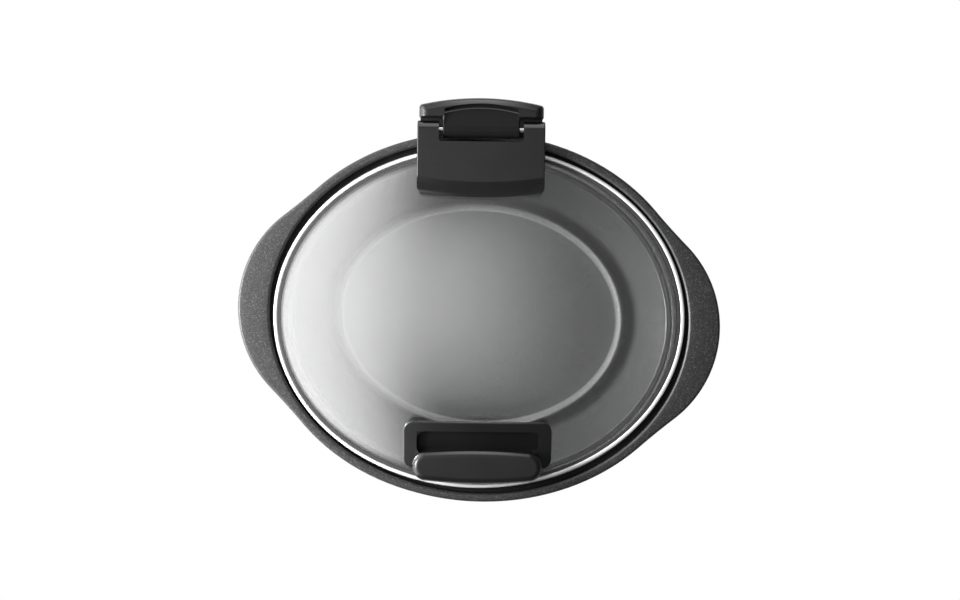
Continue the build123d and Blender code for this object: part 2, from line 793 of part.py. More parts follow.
with BuildPart() as rotary_switch:
    with BuildSketch(front_plane(switch_back)):
        with Locations((0, knob_z)):
            RectangleRounded(switch_size, switch_size, 2)
    extrude(amount=panel_face - panel_skin - switch_back)
    with BuildSketch(front_plane(panel_face - panel_skin)):
        with Locations((0, knob_z)):
            Circle(bushing_radius)
    extrude(amount=panel_skin)
    with BuildSketch(front_plane(switch_back + 4)):
        with Locations((0, knob_z)):
            Circle(shaft_radius + running_gap)
    extrude(amount=panel_face - switch_back - 4, mode=Mode.SUBTRACT)
save("rotary_switch", rotary_switch)

with BuildPart() as control_board:
    with BuildSketch(front_plane(board_rear)):
        with Locations((0, plug_middle_z)):
            Rectangle(2 * plug_half_width, plug_height)
        with Locations((0, knob_z)):
            Rectangle(switch_size + 1, switch_size + 1, mode=Mode.SUBTRACT)
        with Locations(*plug_screw_places):
            Circle(1.25 + screw_clearance, mode=Mode.SUBTRACT)
    extrude(amount=board_thickness)
save("control_board", control_board)

with BuildPart() as board_screws:
    with BuildSketch(front_plane(board_rear)):
        with Locations(*plug_screw_places):
            Circle(1.25)
    extrude(amount=board_thickness + 5)
    with BuildSketch(front_plane(board_rear)):
        with Locations(*plug_screw_places):
            Circle(2.4)
    extrude(amount=-1.6)
save("board_screws", board_screws)

with BuildPart() as indicator_lens:
    with BuildSketch(front_plane(plug_back)):
        with Locations((0, lens_z)):
            Circle(lens_radius)
    extrude(amount=panel_face - plug_back + 0.6)
    fillet(indicator_lens.edges().group_by(Axis.Y)[0], 0.5)
save("indicator_lens", indicator_lens)

# ---------------------------------------------------------------- knob
with BuildPart() as control_knob:
    with BuildSketch(front_plane(knob_back)):
        with Locations((0, knob_z)):
            Circle(knob_radius)
            with PolarLocations(knob_radius + 0.9, knob_flutes):
                Circle(1.7, mode=Mode.SUBTRACT)
    extrude(amount=knob_depth)
    with BuildSketch(front_plane(knob_back)):
        with Locations((0, knob_z)):
            Circle(shaft_radius + running_gap)
    extrude(amount=knob_depth - 3, mode=Mode.SUBTRACT)
    with BuildSketch(front_plane(knob_front)):
        with Locations((0, knob_z)):
            with Locations((0, knob_radius * 0.62)):
                Rectangle(1.8, 9)
    extrude(amount=-0.6, mode=Mode.SUBTRACT)
save("control_knob", control_knob)

with BuildPart() as knob_pointer:
    with BuildSketch(front_plane(knob_front)):
        with Locations((0, knob_z + knob_radius * 0.62)):
            Rectangle(1.7, 8.9)
    extrude(amount=-0.6)
save("knob_pointer", knob_pointer)

with BuildPart() as switch_shaft:
    with BuildSketch(front_plane(switch_back + 4 + seat_gap)):
        with Locations((0, knob_z)):
            Circle(shaft_radius)
    extrude(amount=knob_front - 3 - switch_back - 4 - seat_gap)
save("switch_shaft", switch_shaft)

# ---------------------------------------------------------------- mains entry
with BuildPart() as cord_inlet:
    with BuildSketch(rear_plane(inlet_inner_end)):
        with Locations((0, inlet_z)):
            Circle(inlet_barrel_radius)
    extrude(amount=inlet_flange_face - inlet_inner_end)
    with BuildSketch(rear_plane(inlet_nut_back)):
        with Locations((0, inlet_z)):
            RectangleRounded(2 * inlet_barrel_radius, 2 * inlet_barrel_radius, inlet_key_round)
    extrude(amount=inlet_flange_face - inlet_nut_back)
    with BuildSketch(rear_plane(inlet_flange_face)):
        with Locations((0, inlet_z)):
            Circle(inlet_flange_radius)
    extrude(amount=inlet_flange_thickness)
    fillet(cord_inlet.edges().group_by(Axis.Y)[-1], 1.2)
    with BuildSketch(rear_plane(inlet_inner_end)):
        with Locations((0, inlet_z)):
            Circle(inlet_bore_radius)
    extrude(amount=inlet_flange_face + inlet_flange_thickness - inlet_inner_end,
            mode=Mode.SUBTRACT)
save("cord_inlet", cord_inlet)

with BuildPart() as inlet_nut:
    with BuildSketch(rear_plane(inlet_nut_back - inlet_nut_thickness)):
        with Locations((0, inlet_z)):
            RegularPolygon(inlet_flange_radius, 6)
            Circle(inlet_barrel_radius + running_gap, mode=Mode.SUBTRACT)
    extrude(amount=inlet_nut_thickness)
save("inlet_nut", inlet_nut)

# ---------------------------------------------------------------- hinge tower
with BuildPart() as hinge_tower:
    half = tower_width / 2
    with BuildSketch(bowl.offset(tower_low_z)):
        with BuildLine():
            Polyline(
                (half, tower_rear - tower_rear_sagitta),
                (half, tower_front),
                (-half, tower_front),
                (-half, tower_rear - tower_rear_sagitta),
            )
            ThreePointArc(
                (-half, tower_rear - tower_rear_sagitta),
                (0, tower_rear),
                (half, tower_rear - tower_rear_sagitta),
            )
        make_face()
    extrude(amount=tower_top_z - tower_low_z)
    fillet(hinge_tower.edges().filter_by(Axis.Z).group_by(Axis.Y)[-1], 4.0)
    with BuildSketch(bowl.offset(blade_low_z - seat_gap)):
        with Locations((0, blade_depth)):
            Rectangle(blade_width + 2 * seat_gap, blade_thickness + 2 * seat_gap)
    extrude(amount=tower_top_z, mode=Mode.SUBTRACT)
    with BuildSketch(rear_plane(0)):
        with Locations((tower_screw_x, tower_screw_z), (-tower_screw_x, tower_screw_z)):
            Circle(screw_radius + running_gap)
    extrude(amount=tower_front + 5.5, mode=Mode.SUBTRACT)
save("hinge_tower", hinge_tower)

with BuildPart() as tower_screws:
    with BuildSketch(rear_plane(tower_front - 6 - screw_head_height)):
        with Locations((tower_screw_x, tower_screw_z), (-tower_screw_x, tower_screw_z)):
            Circle(screw_head_radius)
    extrude(amount=screw_head_height)
    with BuildSketch(rear_plane(tower_front - 6)):
        with Locations((tower_screw_x, tower_screw_z), (-tower_screw_x, tower_screw_z)):
            Circle(screw_radius)
    extrude(amount=11)
save("tower_screws", tower_screws)

# ---------------------------------------------------------------- cast pot
wing_centre = Vector(wing_reach - wing_radius, 0)


def wing_blend():
    """Hollow arc between the flange's oval and a wing, tangent to both.

    The arc's middle lies `wing_blend_radius` outside the oval and outside the wing; halving
    finds the oval's parameter where both hold. Returns that parameter in degrees, the ends
    of the arc on the wing and on the oval, and the arc's own middle point.
    """
    a, b = flange_oval
    low, high = 0.0, pi / 2
    for _ in range(60):
        at = (low + high) / 2
        on_oval = Vector(a * cos(at), b * sin(at))
        middle = on_oval + Vector(b * cos(at), a * sin(at)).normalized() * wing_blend_radius
        if (middle - wing_centre).length < wing_radius + wing_blend_radius:
            low = at
        else:
            high = at
    to_wing = (wing_centre - middle).normalized() * wing_blend_radius
    to_oval = on_oval - middle
    hollow = middle + (to_wing + to_oval).normalized() * wing_blend_radius
    return degrees(at), middle + to_wing, on_oval, hollow


blend_at, on_wing, on_oval, in_hollow = wing_blend()

with BuildSketch(pot_plane.offset(flange_low_z)) as flange_outline:
    with BuildLine():
        for start in (blend_at, 180 + blend_at):
            EllipticalCenterArc((0, 0), *flange_oval, start, arc_size=180 - 2 * blend_at)
        for end in (1, -1):
            ThreePointArc(
                (end * on_wing.X, on_wing.Y), (end * wing_reach, 0), (end * on_wing.X, -on_wing.Y)
            )
            for edge in (1, -1):
                ThreePointArc(
                    (end * on_wing.X, edge * on_wing.Y),
                    (end * in_hollow.X, edge * in_hollow.Y),
                    (end * on_oval.X, edge * on_oval.Y),
                )
    make_face()

with BuildPart() as pot_space:
    loft(oval_sections(pot_floor_z, pot_floor_oval, ledge_z, mouth_oval, pot_plane), ruled=True)
    fillet(pot_space.edges().group_by(Axis.Z)[0], pot_corner_radius)
    with BuildSketch(pot_plane.offset(ledge_z)):
        Ellipse(*recess_oval)
    extrude(amount=flange_top_z - ledge_z)
    ledge_edges = pot_space.edges().filter_by_position(Axis.Z, ledge_z - 0.05, ledge_z + 0.05)
    fillet(ledge_edges.sort_by(Edge.length)[0], mouth_round)

with BuildPart() as cooking_pot:
    loft(oval_sections(pot_bottom_z, pot_foot, ledge_z, pot_head, pot_plane), ruled=True)
    fillet(cooking_pot.edges().group_by(Axis.Z)[0], pot_corner_radius + 1)
    with BuildSketch(pot_plane.offset(ledge_low_z)):
        Ellipse(*step_oval)
    extrude(amount=flange_low_z - ledge_low_z)
    extrude(flange_outline.sketch, amount=flange_thickness)
    add(pot_space.part, mode=Mode.SUBTRACT)
    fillet(cooking_pot.edges().group_by(Axis.Z)[-1], 2.2)
save("cooking_pot", cooking_pot)

# ---------------------------------------------------------------- hinge block and pin
with BuildPart() as hinge_block:
    half = block_width / 2
    with BuildSketch(bowl.offset(block_low_z)):
        with BuildLine():
            Polyline(
                (half, block_rear - block_rear_sagitta),
                (half, block_front),
                (-half, block_front),
                (-half, block_rear - block_rear_sagitta),
            )
            ThreePointArc(
                (-half, block_rear - block_rear_sagitta),
                (0, block_rear),
                (half, block_rear - block_rear_sagitta),
            )
        make_face()
    extrude(amount=hinge_top_z - block_low_z)
    fillet(hinge_block.edges().filter_by(Axis.Z).group_by(Axis.Y)[-1], 3.0)
    fillet(hinge_block.edges().group_by(Axis.Z)[-1].sort_by(Axis.Y)[-1], block_rear_round)
    with BuildSketch(side):
        with Locations((pin_depth, pin_z)):
            Circle(barrel_radius)
        with Locations(((pin_depth + block_front + 2) / 2, pin_z)):
            Rectangle(block_front + 2 - pin_depth, 2 * barrel_radius)
    extrude(amount=tongue_width / 2, both=True)
    block_top = hinge_block.edges().group_by(Axis.Z)[-1]
    fillet(block_top.filter_by_position(Axis.Y, -inf, bowl_y + block_front), hinge_edge_round)
    with BuildPart(mode=Mode.PRIVATE) as scoop:
        scoop_half = tongue_width / 2 - scoop_margin
        with BuildSketch(side):
            with BuildLine():
                Polyline(
                    (pin_depth + scoop_front, hinge_top_z),
                    (pin_depth + scoop_rear, hinge_top_z - scoop_drop),
                    (pin_depth + scoop_rear, hinge_top_z + 1),
                    (pin_depth + scoop_front, hinge_top_z + 1),
                    (pin_depth + scoop_front, hinge_top_z),
                )
            make_face()
        extrude(amount=scoop_half, both=True)
        with BuildSketch(bowl.offset(hinge_top_z - 10)):
            with BuildLine():
                Polyline(
                    (-scoop_half, pin_depth + scoop_rear - scoop_rear_sagitta),
                    (-scoop_half, pin_depth),
                    (scoop_half, pin_depth),
                    (scoop_half, pin_depth + scoop_rear - scoop_rear_sagitta),
                )
                ThreePointArc(
                    (-scoop_half, pin_depth + scoop_rear - scoop_rear_sagitta),
                    (0, pin_depth + scoop_rear),
                    (scoop_half, pin_depth + scoop_rear - scoop_rear_sagitta),
                )
            make_face()
        extrude(amount=12, mode=Mode.INTERSECT)
    add(scoop.part, mode=Mode.SUBTRACT)
    with BuildSketch(bowl.offset(blade_low_z)):
        with Locations((0, blade_depth)):
            Rectangle(blade_width, blade_thickness)
    extrude(amount=block_low_z - blade_low_z)
    with BuildSketch(side):
        with Locations((pin_depth, pin_z)):
            Circle(pin_radius + running_gap)
    extrude(amount=tongue_width, both=True, mode=Mode.SUBTRACT)
save("hinge_block", hinge_block)

with BuildPart() as hinge_pin:
    with BuildSketch(side):
        with Locations((pin_depth, pin_z)):
            Circle(pin_radius)
    extrude(amount=plate_width / 2 - 0.5, both=True)
save("hinge_pin", hinge_pin)

# ---------------------------------------------------------------- glass and rim of the lid
dome_oval = grown(lid_oval, -lid_rim_sheet - seat_gap - glass_brim)
dome_radius = (dome_oval[1] ** 2 + dome_rise**2) / (2 * dome_rise)

with BuildPart() as dome:
    with BuildSketch(Plane.XZ):
        with BuildLine():
            Polyline((0, dome_rise), (0, 0), (dome_oval[1], 0))
            RadiusArc((dome_oval[1], 0), (0, dome_rise), -dome_radius)
        make_face()
    revolve(axis=Axis.Z)
    scale(by=(dome_oval[0] / dome_oval[1], 1, 1))

with BuildPart() as dome_form:
    add(dome.part)
    with BuildSketch():
        Ellipse(*dome_oval)
    extrude(amount=-12)


def raised(form, lift):
    """The dome's solid, standing `lift` above its place under the outside of the glass."""
    return form.part.moved(Location((0, bowl_y, glass_top_z + lift)))


clamp_screw_places = [(clamp_screw_x, clamp_screw_depth), (-clamp_screw_x, clamp_screw_depth)]
handle_screw_places = [
    (handle_screw_x, -handle_screw_depth),
    (-handle_screw_x, -handle_screw_depth),
]
glass_edge_oval = grown(lid_oval, -lid_rim_sheet - seat_gap)

with BuildPart() as lid_glass:
    with BuildSketch(bowl.offset(glass_low_z)):
        Ellipse(*glass_edge_oval)
    extrude(amount=glass_thickness)
    add(raised(dome, 0))
    add(raised(dome, -glass_thickness), mode=Mode.SUBTRACT)
    with BuildSketch(bowl.offset(glass_low_z)):
        with Locations(*clamp_screw_places, *handle_screw_places):
            Circle(screw_radius + 1.0)
    extrude(amount=dome_rise + 10, mode=Mode.SUBTRACT)
save("lid_glass", lid_glass)

with BuildPart() as lid_seal:
    seal_oval = grown(lid_oval, -lid_rim_cover - seat_gap)
    with BuildSketch(bowl.offset(glass_top_z)):
        Ellipse(*seal_oval)
        Ellipse(*grown(seal_oval, -seal_width), mode=Mode.SUBTRACT)
    extrude(amount=seal_height)
save("lid_seal", lid_seal)

with BuildPart() as lid_rim:
    with BuildSketch(bowl.offset(rim_low_z)):
        Ellipse(*lid_oval)
    extrude(amount=rim_top_z - rim_low_z)
    fillet(lid_rim.edges().group_by(Axis.Z)[-1], 0.9)
    fillet(lid_rim.edges().group_by(Axis.Z)[0], 0.6)
    with BuildSketch(bowl.offset(glass_low_z)):
        Ellipse(*grown(lid_oval, -lid_rim_sheet))
    extrude(amount=glass_thickness, mode=Mode.SUBTRACT)
    with BuildSketch(bowl.offset(rim_low_z)):
        Ellipse(*grown(lid_oval, -lid_rim_cover))
    extrude(amount=rim_top_z - rim_low_z, mode=Mode.SUBTRACT)
save("lid_rim", lid_rim)

# ---------------------------------------------------------------- lid's hinge plate
plate_half = plate_width / 2
front_arc_radius = (plate_half**2 + plate_front_sagitta**2) / (2 * plate_front_sagitta)
front_arc_depth = plate_front + front_arc_radius  # middle of the arc of the plate's front

with BuildPart() as plate_form:
    with BuildSketch(Plane.XZ):
        with BuildLine():
            Polyline(
                (0, plate_low_z),
                (front_arc_radius, plate_low_z),
                (front_arc_radius, hinge_top_z - 10.5),
                (front_arc_radius - 1.8, hinge_top_z - 8.0),
                (front_arc_radius - 7.4, hinge_top_z - 1.8),
                (front_arc_radius - 11.8, hinge_top_z),
                (0, hinge_top_z),
                (0, plate_low_z),
            )
        make_face()
    revolve(axis=Axis.Z)

with BuildPart() as lid_plate:
    with BuildSketch(side):
        with BuildLine():
            Polyline(
                (pin_depth, pin_z - barrel_radius),
                (slot_depth, pin_z - barrel_radius),
                (slot_depth - 2, plate_low_z),
                (plate_front - 1, plate_low_z),
                (plate_front - 1, hinge_top_z),
                (pin_depth, hinge_top_z),
            )
            ThreePointArc(
                (pin_depth, hinge_top_z),
                (pin_depth + barrel_radius, pin_z),
                (pin_depth, pin_z - barrel_radius),
            )
        make_face()
    extrude(amount=plate_half, both=True)
    add(
        plate_form.part.moved(Location((0, bowl_y + front_arc_depth, 0))), mode=Mode.INTERSECT
    )
    front_corners = lid_plate.edges().filter_by(Axis.Z).group_by(Axis.Y)[0]
    fillet(front_corners, plate_corner)
    add(raised(dome_form, seat_gap), mode=Mode.SUBTRACT)
    with BuildSketch(bowl.offset(plate_low_z)):
        with Locations((0, slot_depth + 20)):
            Rectangle(tongue_width + 2 * barrel_side_gap, 40)
    extrude(amount=30, mode=Mode.SUBTRACT)
    slot_corners = lid_plate.edges().filter_by(Axis.Z).filter_by_position(
        Axis.Y, bowl_y + slot_depth - 0.1, bowl_y + slot_depth + 0.1
    )
    fillet(slot_corners, slot_corner)
    plate_sides = lid_plate.edges().group_by(Axis.Z)[-1].filter_by(Axis.Y).sort_by(Axis.X)
    fillet([plate_sides[0], plate_sides[-1]], hinge_edge_round)
    with BuildSketch(side):
        with Locations((pin_depth, pin_z)):
            Circle(pin_radius + running_gap)
    extrude(amount=plate_width, both=True, mode=Mode.SUBTRACT)
    with BuildSketch(bowl.offset(plate_low_z)):
        with Locations(*clamp_screw_places):
            Circle(screw_radius + running_gap)
    extrude(amount=11, mode=Mode.SUBTRACT)
save("lid_plate", lid_plate)

with BuildPart() as lid_pad:
    with BuildSketch(bowl.offset(glass_top_z + seat_gap)):
        with Locations((0, (pad_front + pad_rear) / 2)):
            Rectangle(2 * pad_half_width, pad_rear - pad_front)
        Ellipse(*grown(seal_oval, -seal_width - seat_gap), mode=Mode.INTERSECT)
    extrude(amount=plate_low_z - glass_top_z - seat_gap)
    add(raised(dome_form, seat_gap), mode=Mode.SUBTRACT)
save("lid_pad", lid_pad)

under_glass = -glass_thickness - seat_gap
with BuildPart() as lid_clamp:
    with BuildSketch(bowl.offset(clamp_seat_z)):
        with Locations((0, (clamp_front + clamp_rear) / 2)):
            RectangleRounded(2 * clamp_half_width, clamp_rear - clamp_front, 4)
    extrude(amount=30)
    add(raised(dome_form, under_glass - clamp_thickness), mode=Mode.SUBTRACT)
    with BuildSketch(bowl.offset(clamp_seat_z)):
        with Locations(*clamp_screw_places):
            Circle(screw_head_radius + 2.0)
    extrude(amount=20)
    add(raised(dome_form, under_glass), mode=Mode.INTERSECT)
    with BuildSketch(bowl.offset(clamp_seat_z)):
        with Locations(*clamp_screw_places):
            Circle(screw_radius + screw_clearance)
    extrude(amount=20, mode=Mode.SUBTRACT)
save("lid_clamp", lid_clamp)

with BuildPart() as clamp_screws:
    with BuildSketch(bowl.offset(clamp_seat_z - screw_head_height)):
        with Locations(*clamp_screw_places):
            Circle(screw_head_radius)
    extrude(amount=screw_head_height)
    with BuildSketch(bowl.offset(clamp_seat_z)):
        with Locations(*clamp_screw_places):
            Circle(screw_radius)
    extrude(amount=plate_low_z + 10 - clamp_seat_z)
save("clamp_screws", clamp_screws)

# ---------------------------------------------------------------- lid's handle
with BuildPart() as thumb_pocket:
    with BuildSketch(bowl.offset(glass_top_z)):
        with Locations((0, -(thumb_back + thumb_front) / 2)):
            RectangleRounded(2 * thumb_half_width, thumb_front - thumb_back, thumb_corner)
    extrude(amount=grip_low_z + 10 - glass_top_z)
    with BuildSketch(bowl.offset(glass_top_z)):
        with Locations((0, -(thumb_back + grip_back) / 2)):
            RectangleRounded(2 * thumb_half_width, grip_back - thumb_back, thumb_corner)
    extrude(amount=40)
    add(raised(dome_form, thumb_floor), mode=Mode.SUBTRACT)

with BuildPart() as lid_handle:
    with BuildSketch(bowl.offset(glass_top_z - 5)):
        with Locations((0, -foot_plate_back - foot_plate_depth / 2)):
            RectangleRounded(foot_plate_width, foot_plate_depth, foot_plate_corner)
    extrude(amount=40)
    add(raised(dome_form, seat_gap + foot_plate_thickness), mode=Mode.INTERSECT)
    foot_top = lid_handle.faces().filter_by(GeomType.PLANE, reverse=True).sort_by(Axis.Z)[-1]
    fillet(foot_top.edges(), foot_plate_round)
    with BuildPart(mode=Mode.PRIVATE) as grip:
        half = grip_width / 2
        with BuildSketch(bowl.offset(grip_low_z)) as grip_outline:
            with BuildLine():
                back_corner = -grip_back - grip_back_sagitta
                front_corner = -grip_front + grip_front_sagitta
                Line((-half, front_corner), (-half, back_corner))
                ThreePointArc((-half, back_corner), (0, -grip_back), (half, back_corner))
                Line((half, back_corner), (half, front_corner))
                ThreePointArc((half, front_corner), (0, -grip_front), (-half, front_corner))
            make_face()
            fillet(grip_outline.vertices(), grip_corner)
        extrude(amount=grip_top_z - grip_low_z)
        fillet(grip.edges().group_by(Axis.Z)[-1], grip_edge_round)
        fillet(grip.edges().group_by(Axis.Z)[0], 2.0)
    add(grip.part)
    add(raised(dome_form, seat_gap), mode=Mode.SUBTRACT)
    add(thumb_pocket.part, mode=Mode.SUBTRACT)
    with BuildSketch(bowl.offset(glass_top_z)):
        with Locations(*handle_screw_places):
            Circle(screw_radius + running_gap)
    extrude(amount=grip_low_z + 2 - glass_top_z, mode=Mode.SUBTRACT)
save("lid_handle", lid_handle)

with BuildPart() as handle_washers:
    with BuildSketch(bowl.offset(handle_seat_z)):
        with Locations(*handle_screw_places):
            Circle(washer_radius)
            Circle(screw_radius + screw_clearance, mode=Mode.SUBTRACT)
    extrude(amount=15)
    add(raised(dome_form, under_glass), mode=Mode.INTERSECT)
save("handle_washers", handle_washers)

with BuildPart() as handle_screws:
    with BuildSketch(bowl.offset(handle_seat_z - screw_head_height)):
        with Locations(*handle_screw_places):
            Circle(screw_head_radius)
    extrude(amount=screw_head_height)
    with BuildSketch(bowl.offset(handle_seat_z)):
        with Locations(*handle_screw_places):
            Circle(screw_radius)
    extrude(amount=grip_low_z + 1.5 - handle_seat_z)
save("handle_screws", handle_screws)
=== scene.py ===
"""Looks of the oval slow cooker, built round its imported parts.

Metres, +Z up, the front of the cooker at -Y. Sizes that repeat the part's own are written in
millimetres about the bowl's middle, and MM turns them into metres.
"""

from __future__ import annotations

import logging
import math
from dataclasses import dataclass
from enum import Enum
from typing import Any, Iterable, Sequence, Union

import bpy
import numpy as np
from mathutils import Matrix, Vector


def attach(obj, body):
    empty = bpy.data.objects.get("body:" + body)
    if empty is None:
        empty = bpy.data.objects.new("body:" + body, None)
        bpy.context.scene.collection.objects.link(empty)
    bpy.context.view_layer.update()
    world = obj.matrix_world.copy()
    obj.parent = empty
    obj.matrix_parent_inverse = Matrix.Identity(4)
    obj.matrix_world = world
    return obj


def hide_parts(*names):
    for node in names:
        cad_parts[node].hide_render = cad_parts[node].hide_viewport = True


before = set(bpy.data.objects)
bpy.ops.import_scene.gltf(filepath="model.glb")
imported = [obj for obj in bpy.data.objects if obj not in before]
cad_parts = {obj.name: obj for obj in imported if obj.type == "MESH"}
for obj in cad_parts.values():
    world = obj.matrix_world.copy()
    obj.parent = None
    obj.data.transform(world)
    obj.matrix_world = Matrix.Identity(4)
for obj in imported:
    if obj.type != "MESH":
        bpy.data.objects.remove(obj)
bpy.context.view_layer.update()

log = logging.getLogger("slow_cooker")

MM = 0.001
BOWL_Y = -9.3
POT_TURN = math.radians(-3.7)
AROUND = 384

Colour = tuple[float, float, float]
Point = tuple[float, float, float]
Oval = tuple[float, float]
Direction = tuple[float, float]
Profile = list[tuple[float, float]]
Level = tuple[np.ndarray, Any]

# Directions in a profile, whose points are a distance outwards and a height.
IN: Direction = (-1.0, 0.0)
OUT: Direction = (1.0, 0.0)
UP: Direction = (0.0, 1.0)
DOWN: Direction = (0.0, -1.0)


# ------------------------------------------------------------------ shader expressions
class Wire:
    """A shader socket that turns Python operators into Math nodes."""

    def __init__(self, tree: "Tree", socket: Any) -> None:
        """Keeps the tree that new nodes go to and the output socket."""
        self.tree = tree
        self.socket = socket

    def _math(self, operation: str, *values: Operand) -> "Wire":
        """Adds one Math node.

        Args:
            operation: the node's operation.
            values: its inputs in order, sockets or numbers.

        Returns:
            The node's output.
        """
        settings = {"operation": operation}
        return self.tree.node("ShaderNodeMath", settings, dict(enumerate(values)))

    def __add__(self, other: Operand) -> "Wire":
        """Sum."""
        return self._math("ADD", self, other)

    __radd__ = __add__

    def __mul__(self, other: Operand) -> "Wire":
        """Product."""
        return self._math("MULTIPLY", self, other)

    __rmul__ = __mul__

    def __sub__(self, other: Operand) -> "Wire":
        """Difference."""
        return self._math("SUBTRACT", self, other)

    def __rsub__(self, other: Operand) -> "Wire":
        """Difference with the number first."""
        return self._math("SUBTRACT", other, self)

    def __neg__(self) -> "Wire":
        """The value with its sign changed."""
        return self * -1.0

    def span(self, low: float, high: float) -> "Wire":
        """The value stretched so that zero gives low and one gives high."""
        return self * (high - low) + low

    def clamp(self) -> "Wire":
        """The value held between zero and one."""
        return self._math("MINIMUM", self._math("MAXIMUM", self, 0.0), 1.0)


Operand = Union[Wire, float]


class Tree:
    """The node tree of a material or a world, written through a single node method."""

    MIX_LOW, MIX_HIGH, MIX_COLOUR = 6, 7, 2
    OCTAVE_SHARE = 0.55

    def __init__(self, owner: bpy.types.Material | bpy.types.World) -> None:
        """Switches the owner's nodes on and empties its tree."""
        self.owner = owner
        self.owner.use_nodes = True
        self.owner.node_tree.nodes.clear()

    def node(
        self,
        kind: str,
        settings: dict[str, Any] | None = None,
        sockets: dict[Any, Any] | None = None,
        output: Any = 0,
    ) -> Wire:
        """Adds a node of any type.

        Args:
            kind: the node's type name.
            settings: attributes, which are set first.
            sockets: input name or index to a number, colour or Wire.
            output: which output to return.

        Returns:
            The output as a Wire, with no socket where the node has no output.
        """
        made = self.owner.node_tree.nodes.new(kind)
        for key, value in (settings or {}).items():
            setattr(made, key, value)
        for key, value in (sockets or {}).items():
            if isinstance(value, Wire):
                self.owner.node_tree.links.new(value.socket, made.inputs[key])
            else:
                made.inputs[key].default_value = value
        return Wire(self, made.outputs[output] if len(made.outputs) else None)

    def place(self) -> Wire:
        """Object coordinates of the point being shaded."""
        return self.node("ShaderNodeTexCoord", output="Object")

    def along(self, axis: str) -> Wire:
        """Object coordinate along X, Y or Z."""
        return self.node("ShaderNodeSeparateXYZ", sockets={"Vector": self.place()}, output=axis)

    def stretched(self, scale: Sequence[float]) -> Wire:
        """Object coordinates scaled per axis."""
        return self.node("ShaderNodeMapping", sockets={"Vector": self.place(), "Scale": scale})

    def noise(self, scale: float, detail: float = 2.0, at: Wire | None = None) -> Wire:
        """Noise between zero and one.

        Args:
            scale: cells per metre.
            detail: octaves.
            at: coordinates; the object's own by default.

        Returns:
            The noise value.
        """
        sockets = {"Vector": at or self.place(), "Scale": scale, "Detail": detail}
        sockets["Roughness"] = self.OCTAVE_SHARE
        return self.node("ShaderNodeTexNoise", {"noise_dimensions": "3D"}, sockets)

    def ramp(self, value: Wire, low: float, high: float) -> Wire:
        """Soft step.

        Args:
            value: what is measured.
            low: where the step starts, at zero.
            high: where it ends, at one.

        Returns:
            The step's height.
        """
        return self.node(
            "ShaderNodeMapRange",
            {"interpolation_type": "SMOOTHSTEP"},
            {"Value": value, "From Min": low, "From Max": high},
        )

    def blend(self, factor: Wire, low: Colour | Wire, high: Colour) -> Wire:
        """Mix of two colours.

        Args:
            factor: zero for low, one for high.
            low: a colour or another mix.
            high: a colour.

        Returns:
            The mixed colour.
        """
        start = low if isinstance(low, Wire) else (*low, 1.0)
        return self.node(
            "ShaderNodeMix",
            {"data_type": "RGBA"},
            {"Factor": factor, self.MIX_LOW: start, self.MIX_HIGH: (*high, 1.0)},
            output=self.MIX_COLOUR,
        )

    def bump(self, height: Wire, depth: float, strength: float) -> Wire:
        """Normal bent by a height.

        Args:
            height: height between zero and one.
            depth: metres that one stands for.
            strength: share of the effect.

        Returns:
            The normal.
        """
        return self.node(
            "ShaderNodeBump",
            sockets={"Height": height, "Distance": depth, "Strength": strength},
        )

    def shared(self, factor: Wire, first: Wire, second: Wire) -> Wire:
        """Two surface shaders mixed: the first at zero, the second at one."""
        return self.node("ShaderNodeMixShader", sockets={0: factor, 1: first, 2: second})

    def finish(self, surface: Wire, output: str = "ShaderNodeOutputMaterial") -> Any:
        """Connects the surface shader.

        Args:
            surface: the shader.
            output: the type of the output node.

        Returns:
            The material or world that the tree belongs to.
        """
        self.node(output, sockets={"Surface": surface})
        return self.owner


# ------------------------------------------------------------------ finishes
@dataclass(frozen=True)
class Moulded:
    """Moulded plastic or rubber: the colour drifts slowly under a fine grain.

    Scales are in cells per metre, and the grain's depth is in metres.
    """

    name: str
    dark: Colour
    light: Colour
    smooth: float
    rough: float
    grain: float = 900.0
    depth: float = 0.00004
    strength: float = 0.2
    mirror: float = 0.5
    cloud: float = 45.0

    def surface(self, tree: Tree) -> Wire:
        """Colour and roughness follow a slow cloud, and the grain gives bump.

        Args:
            tree: where the nodes go.

        Returns:
            The surface shader.
        """
        cloud = tree.noise(self.cloud, detail=3.0)
        grain = tree.noise(self.grain)
        return tree.node(
            "ShaderNodeBsdfPrincipled",
            sockets={
                "Base Color": tree.blend(cloud, self.dark, self.light),
                "Roughness": cloud.span(self.smooth, self.rough),
                "Specular IOR Level": self.mirror,
                "Normal": tree.bump(grain, self.depth, self.strength),
            },
        )

    def material(self) -> bpy.types.Material:
        """The plastic over the whole piece."""
        tree = Tree(bpy.data.materials.new(self.name))
        return tree.finish(self.surface(tree))


@dataclass(frozen=True)
class Hollow:
    """Box in millimetres about the bowl's middle that takes in a hollow of a piece."""

    low: Point
    high: Point


